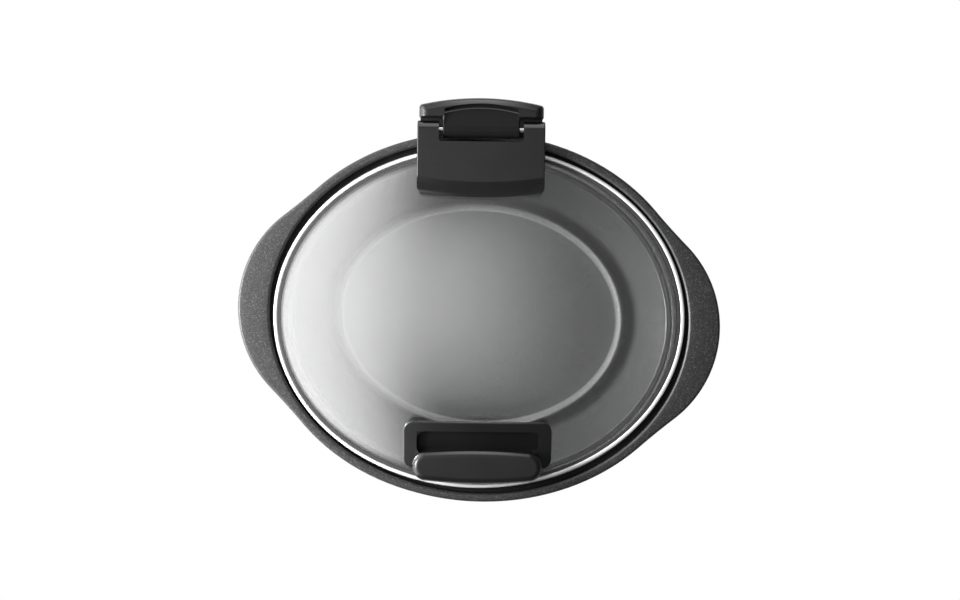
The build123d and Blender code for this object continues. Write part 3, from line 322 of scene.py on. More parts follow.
@dataclass(frozen=True)
class DullShadedHollow:
    """Polished plastic whose hollows keep the dull texture of the mould.

    The rear sides of the hollows are curved: at x metres from the middle they lie bow x^2
    metres further forward. Their darker colour is painted shade; the change takes up `edge`
    millimetres.
    """

    name: str
    polish: Moulded
    dull_shaded: Moulded
    hollows: tuple[Hollow, ...]
    bow: float = 0.0
    edge: float = 0.3

    def inside(self, tree: Tree, hollow: Hollow) -> Wire:
        """Product of six soft steps, one at each side of a hollow's box.

        Args:
            tree: where the nodes go.
            hollow: the box.

        Returns:
            One inside the box and zero outside.
        """
        edge = self.edge * MM
        across = tree.along("X")
        share: Operand = 1.0
        for axis, low, high, middle in zip("XYZ", hollow.low, hollow.high, (0.0, BOWL_Y, 0.0)):
            value = tree.along(axis)
            start, end = (low + middle) * MM, (high + middle) * MM
            share = tree.ramp(value, start, start + edge) * share
            if axis == "Y":
                value = value + across * across * self.bow
            share = (1.0 - tree.ramp(value, end - edge, end)) * share
        return share

    def material(self) -> bpy.types.Material:
        """The dull plastic inside the hollows and the polished one elsewhere."""
        tree = Tree(bpy.data.materials.new(self.name))
        # The hollows get the matt plastic, darker to paint the shade that falls in them.
        inside = sum(self.inside(tree, hollow) for hollow in self.hollows).clamp()
        return tree.finish(
            tree.shared(inside, self.polish.surface(tree), self.dull_shaded.surface(tree))
        )


@dataclass(frozen=True)
class WearAndHighlightBand:
    """Heights in millimetres of a paler band that paints a highlight, at the mouth also wear: it
    grows, stays and fades.
    """

    grow: float
    full: float
    fade: float
    gone: float


@dataclass(frozen=True)
class CastCoating:
    """Dark non-stick coating on a casting: fine pale flecks over a slightly rough skin.

    Scales are in cells per metre, and the skin's depth is in metres. The bands, painted
    highlights and at the mouth also wear, are paler and less metallic.
    """

    name: str
    dark: Colour
    fleck: Colour
    metallic: float
    smooth: float
    rough: float
    scale: float
    depth: float = 0.00006
    strength: float = 0.6
    mirror: float = 0.5
    patch: float = 60.0
    patch_gain: float = 1.25
    fleck_low: float = 0.5
    fleck_high: float = 0.75
    bands: tuple[WearAndHighlightBand, ...] = ()
    worn_and_highlight: Colour = (0.9, 0.9, 0.9)
    wear_and_highlight_between: float = 0.6
    metallic_lost: float = 0.35

    def wear_and_highlight(self, tree: Tree) -> Wire:
        """Sum over the bands of a soft step up times a soft step down.

        Args:
            tree: where the nodes go.

        Returns:
            Share of wear and painted highlight at the point's height.
        """
        height = tree.along("Z")
        shares = (
            tree.ramp(height, band.grow * MM, band.full * MM)
            * (1.0 - tree.ramp(height, band.fade * MM, band.gone * MM))
            for band in self.bands
        )
        return sum(shares).clamp()

    def material(self) -> bpy.types.Material:
        """Flecks are the peaks of a fine noise, and the skin's bump follows the same noise.

        Returns:
            The coating.
        """
        tree = Tree(bpy.data.materials.new(self.name))
        fine = tree.noise(self.scale)
        flecks = tree.ramp(fine, self.fleck_low, self.fleck_high)
        paler: Colour = tuple(part * self.patch_gain for part in self.dark)
        body = tree.blend(tree.noise(self.patch), self.dark, paler)
        colour = tree.blend(flecks, body, self.fleck)
        metallic: Operand = self.metallic
        if self.bands:
            # Paler, less metallic bands: painted highlights, the mouth's one also wear.
            wear_and_highlight = self.wear_and_highlight(tree) * flecks.span(self.wear_and_highlight_between, 1.0)
            colour = tree.blend(wear_and_highlight, colour, self.worn_and_highlight)
            metallic = (1.0 - wear_and_highlight * self.metallic_lost) * self.metallic
        surface = tree.node(
            "ShaderNodeBsdfPrincipled",
            sockets={
                "Base Color": colour,
                "Metallic": metallic,
                "Roughness": fine.span(self.smooth, self.rough),
                "Specular IOR Level": self.mirror,
                "Normal": tree.bump(fine, self.depth, self.strength),
            },
        )
        return tree.finish(surface)


@dataclass(frozen=True)
class SheetMetal:
    """Bare or plated metal with a drawn grain, finest along the axis with the most cells."""

    name: str
    dark: Colour
    light: Colour
    smooth: float
    rough: float
    cells: Point = (60.0, 60.0, 900.0)
    metallic: float = 1.0
    depth: float = 0.00003
    strength: float = 0.15

    def material(self) -> bpy.types.Material:
        """Colour, roughness and bump follow a noise drawn out along the grain.

        Returns:
            The metal.
        """
        tree = Tree(bpy.data.materials.new(self.name))
        grain = tree.noise(1.0, detail=3.0, at=tree.stretched(self.cells))
        surface = tree.node(
            "ShaderNodeBsdfPrincipled",
            sockets={
                "Base Color": tree.blend(grain, self.dark, self.light),
                "Metallic": self.metallic,
                "Roughness": grain.span(self.smooth, self.rough),
                "Normal": tree.bump(grain, self.depth, self.strength),
            },
        )
        return tree.finish(surface)


@dataclass(frozen=True)
class Enamel:
    """Baked enamel on steel sheet: a dark body under a gloss that waves very slightly."""

    name: str
    dark: Colour
    light: Colour
    smooth: float = 0.3
    rough: float = 0.38
    cloud: float = 18.0
    peel: float = 420.0
    depth: float = 0.00005
    strength: float = 0.12

    def material(self) -> bpy.types.Material:
        """A fine orange-peel bump, and a slow drift of colour and roughness.

        Returns:
            The enamel.
        """
        tree = Tree(bpy.data.materials.new(self.name))
        peel = tree.noise(self.peel, detail=1.0)
        cloud = tree.noise(self.cloud, detail=3.0)
        surface = tree.node(
            "ShaderNodeBsdfPrincipled",
            sockets={
                "Base Color": tree.blend(cloud, self.dark, self.light),
                "Roughness": cloud.span(self.smooth, self.rough),
                "Normal": tree.bump(peel, self.depth, self.strength),
            },
        )
        return tree.finish(surface)


@dataclass(frozen=True)
class ClearGlass:
    """Toughened glass: lets light straight through and mirrors more at a low angle."""

    name: str
    tint: Colour
    mirror: float
    index: float = 1.5
    smear: float = 30.0
    smooth: float = 0.02
    rough: float = 0.05

    def material(self) -> bpy.types.Material:
        """A see-through shader and a faintly smeared mirror, shared out by Fresnel.

        Returns:
            The glass.
        """
        tree = Tree(bpy.data.materials.new(self.name))
        edge = tree.node("ShaderNodeFresnel", sockets={"IOR": self.index})
        through = tree.node("ShaderNodeBsdfTransparent", sockets={"Color": (*self.tint, 1.0)})
        smear = tree.noise(self.smear, detail=3.0)
        gloss = tree.node(
            "ShaderNodeBsdfPrincipled",
            sockets={
                "Base Color": (1.0, 1.0, 1.0, 1.0),
                "Metallic": 1.0,
                "Roughness": smear.span(self.smooth, self.rough),
            },
        )
        return tree.finish(tree.shared((edge + self.mirror).clamp(), through, gloss))


class Finish(Enum):
    """The finishes of the cooker, one or more for each record slot."""

    BLACK_PLASTIC = Moulded(
        "satin_black_plastic",
        dark=(0.018, 0.018, 0.019),
        light=(0.028, 0.028, 0.029),
        smooth=0.38,
        rough=0.5,
    )
    # Matt mould texture, and darker than the polished black: painted shade for the hollows.
    DULL_SHADED_BLACK = Moulded(
        "dull_shaded_black_plastic",
        dark=(0.004, 0.004, 0.0042),
        light=(0.007, 0.007, 0.0072),
        smooth=0.4,
        rough=0.5,
        grain=700.0,
        mirror=0.12,
    )
    GLOSS_BLACK = Moulded(
        "polished_black_plastic",
        dark=(0.006, 0.006, 0.0065),
        light=(0.01, 0.01, 0.0105),
        smooth=0.2,
        rough=0.27,
        grain=500.0,
        depth=0.00003,
        strength=0.08,
    )
    # Its thumb pocket is painted darker as shade.
    HANDLE = DullShadedHollow(
        "handle_plastic",
        polish=GLOSS_BLACK,
        dull_shaded=DULL_SHADED_BLACK,
        hollows=(Hollow((-50.2, -108.9, 140.0), (50.2, -94.0, 187.0)),),
    )
    # The tongue's top, its barrel and the scoop behind are painted darker as shade.
    HINGE = DullShadedHollow(
        "hinge_plastic",
        polish=GLOSS_BLACK,
        dull_shaded=DULL_SHADED_BLACK,
        hollows=(
            Hollow((-31.6, 149.8, 160.0), (31.6, 166.0, 179.0)),
            Hollow((-30.4, 160.0, 160.0), (30.4, 171.2, 177.85)),
        ),
        bow=4.5,
    )
    CASING = Enamel("black_enamel", dark=(0.017, 0.017, 0.018), light=(0.026, 0.026, 0.027))
    ALUMINIUM = SheetMetal(
        "pressed_aluminium",
        dark=(0.6, 0.6, 0.61),
        light=(0.74, 0.74, 0.75),
        smooth=0.3,
        rough=0.5,
    )
    HEATER = SheetMetal(
        "heater_foil",
        dark=(0.5, 0.5, 0.48),
        light=(0.68, 0.67, 0.64),
        smooth=0.25,
        rough=0.45,
    )
    ZINC = SheetMetal(
        "zinc_plate",
        dark=(0.5, 0.5, 0.52),
        light=(0.68, 0.68, 0.69),
        smooth=0.3,
        rough=0.45,
    )
    STAINLESS = SheetMetal(
        "brushed_stainless",
        dark=(0.5, 0.5, 0.51),
        light=(0.66, 0.66, 0.67),
        smooth=0.22,
        rough=0.35,
    )
    # Polished steel, half near-white diffuse: the diffuse part paints a sheen in place of the
    # channel's bright reflection.
    POLISHED_SHEEN = SheetMetal(
        "polished_steel",
        dark=(0.9, 0.9, 0.9),
        light=(0.97, 0.97, 0.97),
        smooth=0.3,
        rough=0.4,
        cells=(40.0, 40.0, 40.0),
        metallic=0.5,
    )
    SILICONE = Moulded(
        "black_silicone",
        dark=(0.02, 0.02, 0.02),
        light=(0.035, 0.035, 0.035),
        smooth=0.55,
        rough=0.7,
        grain=600.0,
        depth=0.00006,
        strength=0.3,
    )
    INSULATOR = Moulded(
        "pale_insulator",
        dark=(0.6, 0.57, 0.5),
        light=(0.72, 0.7, 0.64),
        smooth=0.45,
        rough=0.6,
    )
    SLEEVE = Moulded(
        "lead_sleeve",
        dark=(0.6, 0.59, 0.55),
        light=(0.75, 0.74, 0.7),
        smooth=0.5,
        rough=0.65,
    )
    BOARD = Moulded(
        "board_resin",
        dark=(0.02, 0.09, 0.035),
        light=(0.04, 0.14, 0.06),
        smooth=0.35,
        rough=0.5,
    )
    PRINT = Moulded(
        "white_inlay",
        dark=(0.68, 0.68, 0.68),
        light=(0.8, 0.8, 0.8),
        smooth=0.35,
        rough=0.45,
    )
    LENS = Moulded(
        "amber_lens",
        dark=(0.55, 0.16, 0.02),
        light=(0.75, 0.28, 0.04),
        smooth=0.12,
        rough=0.2,
    )
    CAST = CastCoating(
        "speckled_coating",
        dark=(0.018, 0.018, 0.019),
        fleck=(0.11, 0.11, 0.113),
        metallic=0.1,
        smooth=0.36,
        rough=0.5,
        scale=1200.0,
    )
    # Near-black: painted shade on the lid's seat, the deep groove between the lid's rim and the
    # flange.
    CAST_SEAT_SHADE = CastCoating(
        "seat_shade_coating",
        dark=(0.006, 0.006, 0.0062),
        fleck=(0.02, 0.02, 0.0205),
        metallic=0.0,
        smooth=0.6,
        rough=0.75,
        scale=1100.0,
        mirror=0.1,
    )
    CAST_INSIDE = CastCoating(
        "cooking_surface",
        dark=(0.3, 0.3, 0.302),
        fleck=(0.85, 0.85, 0.855),
        metallic=0.9,
        smooth=0.2,
        rough=0.3,
        scale=1150.0,
        depth=0.0001,
        # Paler bands paint the highlights on the floor's rounded edge and on the mouth's lip, which
        # is also worn to bare metal.
        bands=(
            WearAndHighlightBand(grow=32.99, full=33.1, fade=34.0, gone=36.5),
            WearAndHighlightBand(grow=145.2, full=146.2, fade=150.6, gone=152.05),
        ),
    )
    GLASS = ClearGlass("lid_glass_clear", tint=(0.973, 0.976, 0.976), mirror=0.12)


class Wardrobe:
    """Makes each finish once and puts it on pieces."""

    def __init__(self) -> None:
        """Starts with no finish made."""
        self.made: dict[Finish, bpy.types.Material] = {}

    def material(self, finish: Finish) -> bpy.types.Material:
        """The finish's material, made when it is first asked for."""
        if finish not in self.made:
            self.made[finish] = finish.value.material()
        return self.made[finish]

    def dress(self, piece: bpy.types.Object, finish: Finish) -> None:
        """Gives a piece one finish over its whole surface.

        Args:
            piece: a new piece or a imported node's object.
            finish: what it gets.
        """
        piece.data.materials.clear()
        piece.data.materials.append(self.material(finish))
        log.info("%s: %s", piece.name, finish.name.lower())

    def dress_part(self, piece: bpy.types.Object, finish: Finish, faces: np.ndarray) -> None:
        """Gives some of a dressed piece's faces another finish.

        Args:
            piece: the piece.
            finish: what the faces get.
            faces: the faces' indices.
        """
        piece.data.materials.append(self.material(finish))
        index = np.zeros(len(piece.data.polygons), dtype=np.int32)
        piece.data.polygons.foreach_get("material_index", index)
        index[faces] = len(piece.data.materials) - 1
        piece.data.polygons.foreach_set("material_index", index)

    def dress_nodes(self, finish: Finish, *names: str) -> None:
        """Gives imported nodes, named one by one, one finish."""
        for name in names:
            self.dress(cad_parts[name], finish)


# ------------------------------------------------------------------ surfaces
def angles() -> np.ndarray:
    """Polar angles of a ring's points, evenly spaced."""
    return np.arange(AROUND) * (2 * math.pi / AROUND)


def oval(half_axes: Oval) -> np.ndarray:
    """Ellipse by polar angle t: the radius is ab / sqrt((b cos t)^2 + (a sin t)^2).

    Args:
        half_axes: a along X and b along Y.

    Returns:
        The ellipse's points, (AROUND, 2).
    """
    a, b = half_axes
    t = angles()
    radius = a * b / np.hypot(b * np.cos(t), a * np.sin(t))
    return np.stack([radius * np.cos(t), radius * np.sin(t)], axis=1)


def between(low: Oval, high: Oval, share: float) -> Oval:
    """Half axes at a share of the way from the low oval to the high one."""
    return low[0] + (high[0] - low[0]) * share, low[1] + (high[1] - low[1]) * share


def grown(half_axes: Oval, distance: float) -> Oval:
    """Half axes longer by a distance."""
    return half_axes[0] + distance, half_axes[1] + distance


def outward(loop: np.ndarray, distance: float) -> np.ndarray:
    """Loop moved outwards along its normals: p + d n, n being the tangent turned outwards.

    Args:
        loop: points in order against the clock.
        distance: how far; inwards where negative.

    Returns:
        The moved points.
    """
    tangent = np.roll(loop, -1, axis=0) - np.roll(loop, 1, axis=0)
    normal = np.stack([tangent[:, 1], -tangent[:, 0]], axis=1)
    normal /= np.linalg.norm(normal, axis=1, keepdims=True)
    return loop + normal * distance


def turned(loop: np.ndarray, angle: float) -> np.ndarray:
    """Loop turned about the middle."""
    c, s = math.cos(angle), math.sin(angle)
    return loop @ np.array([[c, s], [-s, c]])


def raised(loop: np.ndarray, z: np.ndarray | float) -> np.ndarray:
    """Flat loop set at a height.

    Args:
        loop: points in millimetres about the bowl's middle.
        z: one height, or one for each point.

    Returns:
        Points in metres, (len(loop), 3).
    """
    height = np.broadcast_to(np.asarray(z, float), (len(loop),))[:, None]
    return (np.hstack([loop, height]) + np.array([0.0, BOWL_Y, 0.0])) * MM


def ray_to_circle(rays: np.ndarray, centre: np.ndarray, radius: float, side: int) -> np.ndarray:
    """Distance from the middle to a circle: m + side sqrt(m^2 - |c|^2 + r^2), m = ray . c.

    Args:
        rays: unit directions, (n, 2).
        centre: the circle's centre c.
        radius: the circle's radius r.
        side: 1 for the far side, -1 for the near one.

    Returns:
        A distance for each ray, zero where it misses the circle.
    """
    middle = rays @ centre
    left = middle**2 - centre @ centre + radius**2
    return np.where(left > 0, middle + side * np.sqrt(np.maximum(left, 0.0)), 0.0)


def fillet(
    height: float,
    arrive: Direction,
    leave: Direction,
    radius: float,
    steps: int = 6,
    distance: float = 0.0,
) -> Profile:
    """Rounded corner of a profile: an arc tangent to the two runs that meet at the corner.

    The arc's centre lies on the runs' bisector, r / sin(h) from the corner, h being half the
    angle between them. Its points are the centre plus a turn from one tangent point to the
    other, sin((1 - s) w) start + sin(s w) end over sin(w), for the sweep w = pi - 2 h.

    Args:
        height: the corner's height.
        arrive: direction from the corner back along the run that arrives.
        leave: direction from the corner along the run that leaves.
        radius: the arc's radius.
        steps: spans of the arc.
        distance: the corner's distance outwards.

    Returns:
        Points on the arc, from the arriving run to the leaving one.
    """
    corner = np.array([distance, height])
    u, v = (np.array(run) / np.linalg.norm(run) for run in (arrive, leave))
    half = math.acos(float(np.clip(u @ v, -1, 1))) / 2
    centre = corner + (u + v) / np.linalg.norm(u + v) * radius / math.sin(half)
    start = corner + u * radius / math.tan(half) - centre
    end = corner + v * radius / math.tan(half) - centre
    sweep = math.pi - 2 * half
    share = np.linspace(0, 1, steps + 1)[:, None]
    arc = (np.sin((1 - share) * sweep) * start + np.sin(share * sweep) * end) / math.sin(sweep)
    return [tuple(point) for point in centre + arc]


def follow(loop: np.ndarray, profile: Profile) -> list[Level]:
    """Levels of a profile carried round a loop: each is the loop moved outwards."""
    return [(outward(loop, distance), z) for distance, z in profile]


def piece_from_levels(
    name: str, levels: Sequence[Level], body: str, caps: bool = True
) -> bpy.types.Object:
    """Closed surface through a stack of loops.

    Each loop joins the next with quads. The first and last are closed by a fan to their
    middle, or, for a profile that closes on itself, joined to each other.

    Args:
        name: the piece's name.
        levels: loops in millimetres with their heights.
        body: the body that the piece rides on.
        caps: False for a profile that closes on itself.

    Returns:
        The new object.
    """
    rings = np.stack([raised(loop, z) for loop, z in levels])
    count, around = rings.shape[:2]
    points = rings.reshape(-1, 3)
    index = np.arange(count * around).reshape(count, around)
    low, high = (index[:-1], index[1:]) if caps else (index, np.roll(index, -1, axis=0))
    quads = [low, np.roll(low, -1, axis=1), np.roll(high, -1, axis=1), high]
    faces: list[Any] = np.stack(quads, axis=-1).reshape(-1, 4).tolist()
    if caps:
        points = np.vstack([points, rings[0].mean(axis=0), rings[-1].mean(axis=0)])
        start, first = index[0], np.full(around, count * around)
        end, last = index[-1], first + 1
        faces += np.stack([np.roll(start, -1), start, first], axis=1).tolist()
        faces += np.stack([end, np.roll(end, -1), last], axis=1).tolist()
    mesh = bpy.data.meshes.new(name)
    mesh.from_pydata(points.tolist(), [], faces)
    mesh.update()
    mesh.shade_smooth()
    piece = bpy.data.objects.new(name, mesh)
    bpy.context.scene.collection.objects.link(piece)
    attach(piece, body)
    return piece


# ------------------------------------------------------------------ cast pot
@dataclass
class CastPot:
    """The lift-out pot: floor, tapering wall, lid ledge, flange and two ears.

    Ovals are half axes along X and Y. The shares place the surface's levels on its flat parts
    and its walls.
    """

    flange: Oval = (182.4, 152.9)
    recess: Oval = (173.7, 146.0)
    mouth: Oval = (157.2, 131.5)
    floor: Oval = (133.0, 104.6)
    wall: float = 3.5
    step_wall: float = 2.5
    floor_z: float = 33.0
    bottom_z: float = 28.5
    ledge_z: float = 152.0
    under_ledge_z: float = 148.5
    flange_z: float = 160.5
    under_flange_z: float = 155.5
    ear_radius: float = 95.9
    ear_reach: float = 200.0
    ear_blend: float = 600.0
    corner: float = 14.0
    outer_corner: float = 15.0
    mouth_round: float = 7.0
    mouth_slope: float = 0.215
    seat_round: float = 1.5
    flange_round: float = 2.2
    under_round: float = 1.2
    flat_inside: float = 2.4
    flat_outside: float = 2.6
    floor_shares: tuple[float, ...] = (0.02, 0.2, 0.4, 0.6, 0.8, 0.93)
    seat_shares: tuple[float, ...] = (0.5, 0.7)
    top_shares: tuple[float, ...] = (0.35, 0.7)
    under_shares: tuple[float, ...] = (0.8, 0.5, 0.2, 0.02)
    wall_start: float = 0.2
    wall_end: float = 0.94
    shaded_seat_strips: int = 9
    blend_from: float = 0.2
    blend_to: float = 1.5
    blend_steps: int = 20000

    def blend_centre(self) -> tuple[np.ndarray, float, float]:
        """Circle that touches the flange's ellipse and the ear's circle from outside.

        Its centre lies on the ellipse's normal at (a cos s, b sin s), the blend's radius out,
        for the s at which it is as far from the ear's centre as both radii together.

        Returns:
            The centre in the first quarter, and the polar angles of its touching points on the
            ear and on the ellipse.
        """
        a, b = self.flange
        ear = np.array([self.ear_reach - self.ear_radius, 0.0])
        s = np.linspace(self.blend_from, self.blend_to, self.blend_steps)
        on = np.stack([a * np.cos(s), b * np.sin(s)], axis=1)
        normal = np.stack([b * np.cos(s), a * np.sin(s)], axis=1)
        normal /= np.linalg.norm(normal, axis=1, keepdims=True)
        centres = on + normal * self.ear_blend
        clear = np.linalg.norm(centres - ear, axis=1) - self.ear_radius - self.ear_blend
        best = int(np.argmin(np.abs(clear)))
        centre = centres[best]
        on_ear = ear + (centre - ear) * self.ear_radius / np.linalg.norm(centre - ear)
        return centre, math.atan2(on_ear[1], on_ear[0]), math.atan2(on[best][1], on[best][0])

    def outline(self) -> np.ndarray:
        """Flange with ears by polar angle.

        The radius is the ellipse's or the ear circle's, whichever is further out, and between
        the touching points of the hollow blend it is the near side of the blend's circle. The
        four quarters are alike.

        Returns:
            The outline's points, (AROUND, 2).
        """
        t = angles()
        rays = np.abs(np.stack([np.cos(t), np.sin(t)], axis=1))
        ear = np.array([self.ear_reach - self.ear_radius, 0.0])
        ellipse = np.linalg.norm(oval(self.flange), axis=1)
        radius = np.maximum(ellipse, ray_to_circle(rays, ear, self.ear_radius, 1))
        centre, low, high = self.blend_centre()
        angle = np.arctan2(rays[:, 1], rays[:, 0])
        hollow = ray_to_circle(rays, centre, self.ear_blend, -1)
        radius = np.where((angle > low) & (angle < high), hollow, radius)
        return np.stack([radius * np.cos(t), radius * np.sin(t)], axis=1)

    def foot(self, low: Oval, high: Oval, low_z: float, corner: float) -> list[Level]:
        """Levels of the rounded foot of a tapering wall.

        The foot's arc is tangent to the floor and to the wall's mean slope. A point of it at
        height h gives the wall's oval at h, moved inwards by what the arc lies inside the wall.

        Args:
            low: half axes where the wall would meet the floor.
            high: half axes at the ledge.
            low_z: the floor's height.
            corner: the arc's radius.

        Returns:
            Loops with their heights, from the floor upwards.
        """
        rise = self.ledge_z - low_z
        run = (high[0] - low[0] + high[1] - low[1]) / 2
        levels = []
        for distance, height in fillet(0.0, IN, (run, rise), corner, 12):
            share = height / rise
            loop = oval(between(low, high, share))
            levels.append((outward(loop, distance - run * share), low_z + height))
        return levels

    def wall_levels(
        self, low: Oval, high: Oval, low_z: float, shares: Iterable[float]
    ) -> list[Level]:
        """Levels of a tapering wall: ovals at shares of the way from its foot to the ledge.

        Args:
            low: half axes where the wall would meet the floor.
            high: half axes at the ledge.
            low_z: the floor's height.
            shares: how far up each level lies.

        Returns:
            Loops with their heights.
        """
        rise = self.ledge_z - low_z
        return [(oval(between(low, high, share)), low_z + rise * share) for share in shares]

    def inside(self) -> list[Level]:
        """The cooking surface: the floor from its middle, the foot, the wall and the mouth.

        Returns:
            Loops with their heights, outwards.
        """
        foot = self.foot(self.floor, self.mouth, self.floor_z, self.corner)
        floor = [(foot[0][0] * share, self.floor_z) for share in self.floor_shares]
        shares = np.linspace(self.wall_start, self.wall_end, 10)
        wall = self.wall_levels(self.floor, self.mouth, self.floor_z, shares)
        down = (-self.mouth_slope, -1.0)
        lip = fillet(self.ledge_z, down, OUT, self.mouth_round, 10)
        return floor + foot + wall + follow(oval(self.mouth), lip)

    def rim(self) -> list[Level]:
        """The lid's seat and its wall, and the flange's flat top and rounded edges.

        Returns:
            Loops with their heights, outwards.
        """
        mouth, recess, flange = oval(self.mouth), oval(self.recess), self.outline()
        seat = [(mouth + (recess - mouth) * share, self.ledge_z) for share in self.seat_shares]
        seat += follow(recess, fillet(self.ledge_z, IN, UP, self.seat_round))
        top = follow(recess, fillet(self.flange_z, DOWN, OUT, self.flange_round))
        inner, outer = outward(recess, self.flat_inside), outward(flange, -self.flat_outside)
        top += [(inner + (outer - inner) * share, self.flange_z) for share in self.top_shares]
        top += follow(flange, fillet(self.flange_z, IN, DOWN, self.flange_round))
        return seat + top + follow(flange, fillet(self.under_flange_z, UP, IN, self.under_round, 4))

    def outside(self) -> list[Level]:
        """The step under the flange, the outer wall, its foot and the underside.

        Returns:
            Loops with their heights, downwards and then inwards.
        """
        step = oval(grown(self.recess, self.step_wall))
        levels = [(step, self.under_flange_z)]
        levels += follow(step, fillet(self.under_ledge_z, UP, IN, self.under_round, 4))
        low, high = grown(self.floor, self.wall), grown(self.mouth, self.wall)
        top = (self.under_ledge_z - self.bottom_z) / (self.ledge_z - self.bottom_z)
        shares = np.linspace(top, self.wall_start, 8)
        levels += self.wall_levels(low, high, self.bottom_z, shares)
        foot = self.foot(low, high, self.bottom_z, self.outer_corner)
        under = [(foot[0][0] * share, self.bottom_z) for share in self.under_shares]
        return levels + foot[::-1] + under

    def build(self, wardrobe: Wardrobe) -> None:
        """Makes the casting, turned in the base, and dresses it in three coatings.

        The cooking surface takes in the fan at the floor's middle and reaches on to the seat's
        second level. The strips after it get a near-black coating that paints the groove's shade.

        Args:
            wardrobe: gives the finishes.
        """
        inside = self.inside()
        levels = inside + self.rim() + self.outside()
        levels = [(turned(loop, POT_TURN), z) for loop, z in levels]
        casting = piece_from_levels("pot_casting", levels, "pot")
        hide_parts("cooking_pot")
        wardrobe.dress(casting, Finish.CAST)
        strips = np.arange((len(inside) + 1) * AROUND)
        middle = len(casting.data.polygons) - 2 * AROUND + np.arange(AROUND)
        wardrobe.dress_part(casting, Finish.CAST_INSIDE, np.concatenate([strips, middle]))
        # The seat's strips get the near-black coating as painted shade.
        seat = np.arange(self.shaded_seat_strips * AROUND) + len(strips)
        wardrobe.dress_part(casting, Finish.CAST_SEAT_SHADE, seat)


# ------------------------------------------------------------------ lid
@dataclass
class Lid:
    """Domed glass in a steel channel, with the hinge plate and the handle.

    The dome's levels are scales of its foot's oval.
    """

    rim: Oval = (170.6, 141.9)
    rim_low_z: float = 152.3
    rim_top_z: float = 157.8
    sheet: float = 1.0
    cover: float = 3.2
    gap: float = 0.3
    glass: float = 3.5
    brim: float = 6.0
    rise: float = 22.0
    glass_round: float = 0.9
    rim_round_low: float = 1.0
    rim_round_top: float = 1.1
    lip_round_top: float = 0.9
    lip_round_low: float = 0.4
    dome_middle: float = 0.01
    dome_start: float = 0.06
    dome_end: float = 0.97
    bend: tuple[tuple[float, float], ...] = ((0.985, 0.9), (1.0, 0.3), (1.012, 0.0))

    def dome_height(self, loop: np.ndarray, base: Oval) -> np.ndarray:
        """Height of the dome over its brim: a sphere's cap stretched along X.

        The cap is h tall over a circle of radius b, so its sphere's radius is
        (b^2 + h^2) / 2h, and x is shrunk by b / a before the height is taken.

        Args:
            loop: points in millimetres.
            base: half axes a and b of the dome's foot.

        Returns:
            A height for each point.
        """
        radius = (base[1] ** 2 + self.rise**2) / (2 * self.rise)
        x = loop[:, 0] * base[1] / base[0]
        across = x**2 + loop[:, 1] ** 2
        return np.sqrt(radius**2 - across) - (radius - self.rise)

    def glass_levels(self) -> list[Level]:
        """Top of the dome outwards to the brim, round the edge, and back below.

        Near its foot the dome eases into the brim: `bend` gives scales of the foot's oval with
        the share of the dome's last height that is left there.

        Returns:
            Loops with a height for each point.
        """
        edge = grown(self.rim, -self.sheet - self.gap)
        base = grown(edge, -self.brim)
        foot = oval(base)
        low_z = self.rim_low_z + self.sheet
        top_z = low_z + self.glass
        scales = [self.dome_middle, *np.linspace(self.dome_start, self.dome_end, 26)]
        dome: list[Level] = [(foot * s, self.dome_height(foot * s, base)) for s in scales]
        last = self.dome_height(foot * self.bend[0][0], base)
        dome += [(foot * scale, last * share) for scale, share in self.bend]
        around = fillet(top_z, IN, DOWN, self.glass_round, 4)
        around += fillet(low_z, UP, IN, self.glass_round, 4)
        over = [(loop, top_z + height) for loop, height in dome]
        under = [(loop, low_z + height) for loop, height in dome[::-1]]
        return over + follow(oval(edge), around) + under

    def rim_levels(self) -> list[Level]:
        """Rolled channel: outside, over the top, down inside to the glass, and below it.

        Returns:
            Loops with their heights, for a profile that closes on itself.
        """
        low, top = self.rim_low_z, self.rim_top_z
        wide, sheet = self.cover, self.sheet
        profile = fillet(low, IN, UP, self.rim_round_low, 5)
        profile += fillet(top, DOWN, IN, self.rim_round_top, 8)
        profile += fillet(top, OUT, DOWN, self.lip_round_top, 6, -wide)
        profile += [(-wide, top - sheet), (-sheet, top - sheet)]
        profile += [(-sheet, low + sheet), (-wide, low + sheet)]
        profile += fillet(low, UP, OUT, self.lip_round_low, 3, -wide)
        return follow(oval(self.rim), profile)

    def build(self, wardrobe: Wardrobe) -> None:
        """Makes the glass and the channel and dresses the lid's pieces.

        Args:
            wardrobe: gives the finishes.
        """
        glass = piece_from_levels("glass_dome", self.glass_levels(), "lid")
        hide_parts("lid_glass")
        wardrobe.dress(glass, Finish.GLASS)
        rim = piece_from_levels("steel_channel", self.rim_levels(), "lid", caps=False)
        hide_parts("lid_rim")
        wardrobe.dress(rim, Finish.POLISHED_SHEEN)
        wardrobe.dress_nodes(Finish.GLOSS_BLACK, "lid_plate")
        wardrobe.dress_nodes(Finish.HANDLE, "lid_handle")
        wardrobe.dress_nodes(Finish.SILICONE, "lid_pad", "lid_seal", "handle_washers")
        wardrobe.dress_nodes(Finish.STAINLESS, "lid_clamp", "clamp_screws", "handle_screws")


@dataclass
class Hinge:
    """The hinge block with its tongue and blade, and the pin."""

    def build(self, wardrobe: Wardrobe) -> None:
        """Dresses the hinge's nodes."""
        wardrobe.dress_nodes(Finish.HINGE, "hinge_block")
        wardrobe.dress_nodes(Finish.STAINLESS, "hinge_pin")


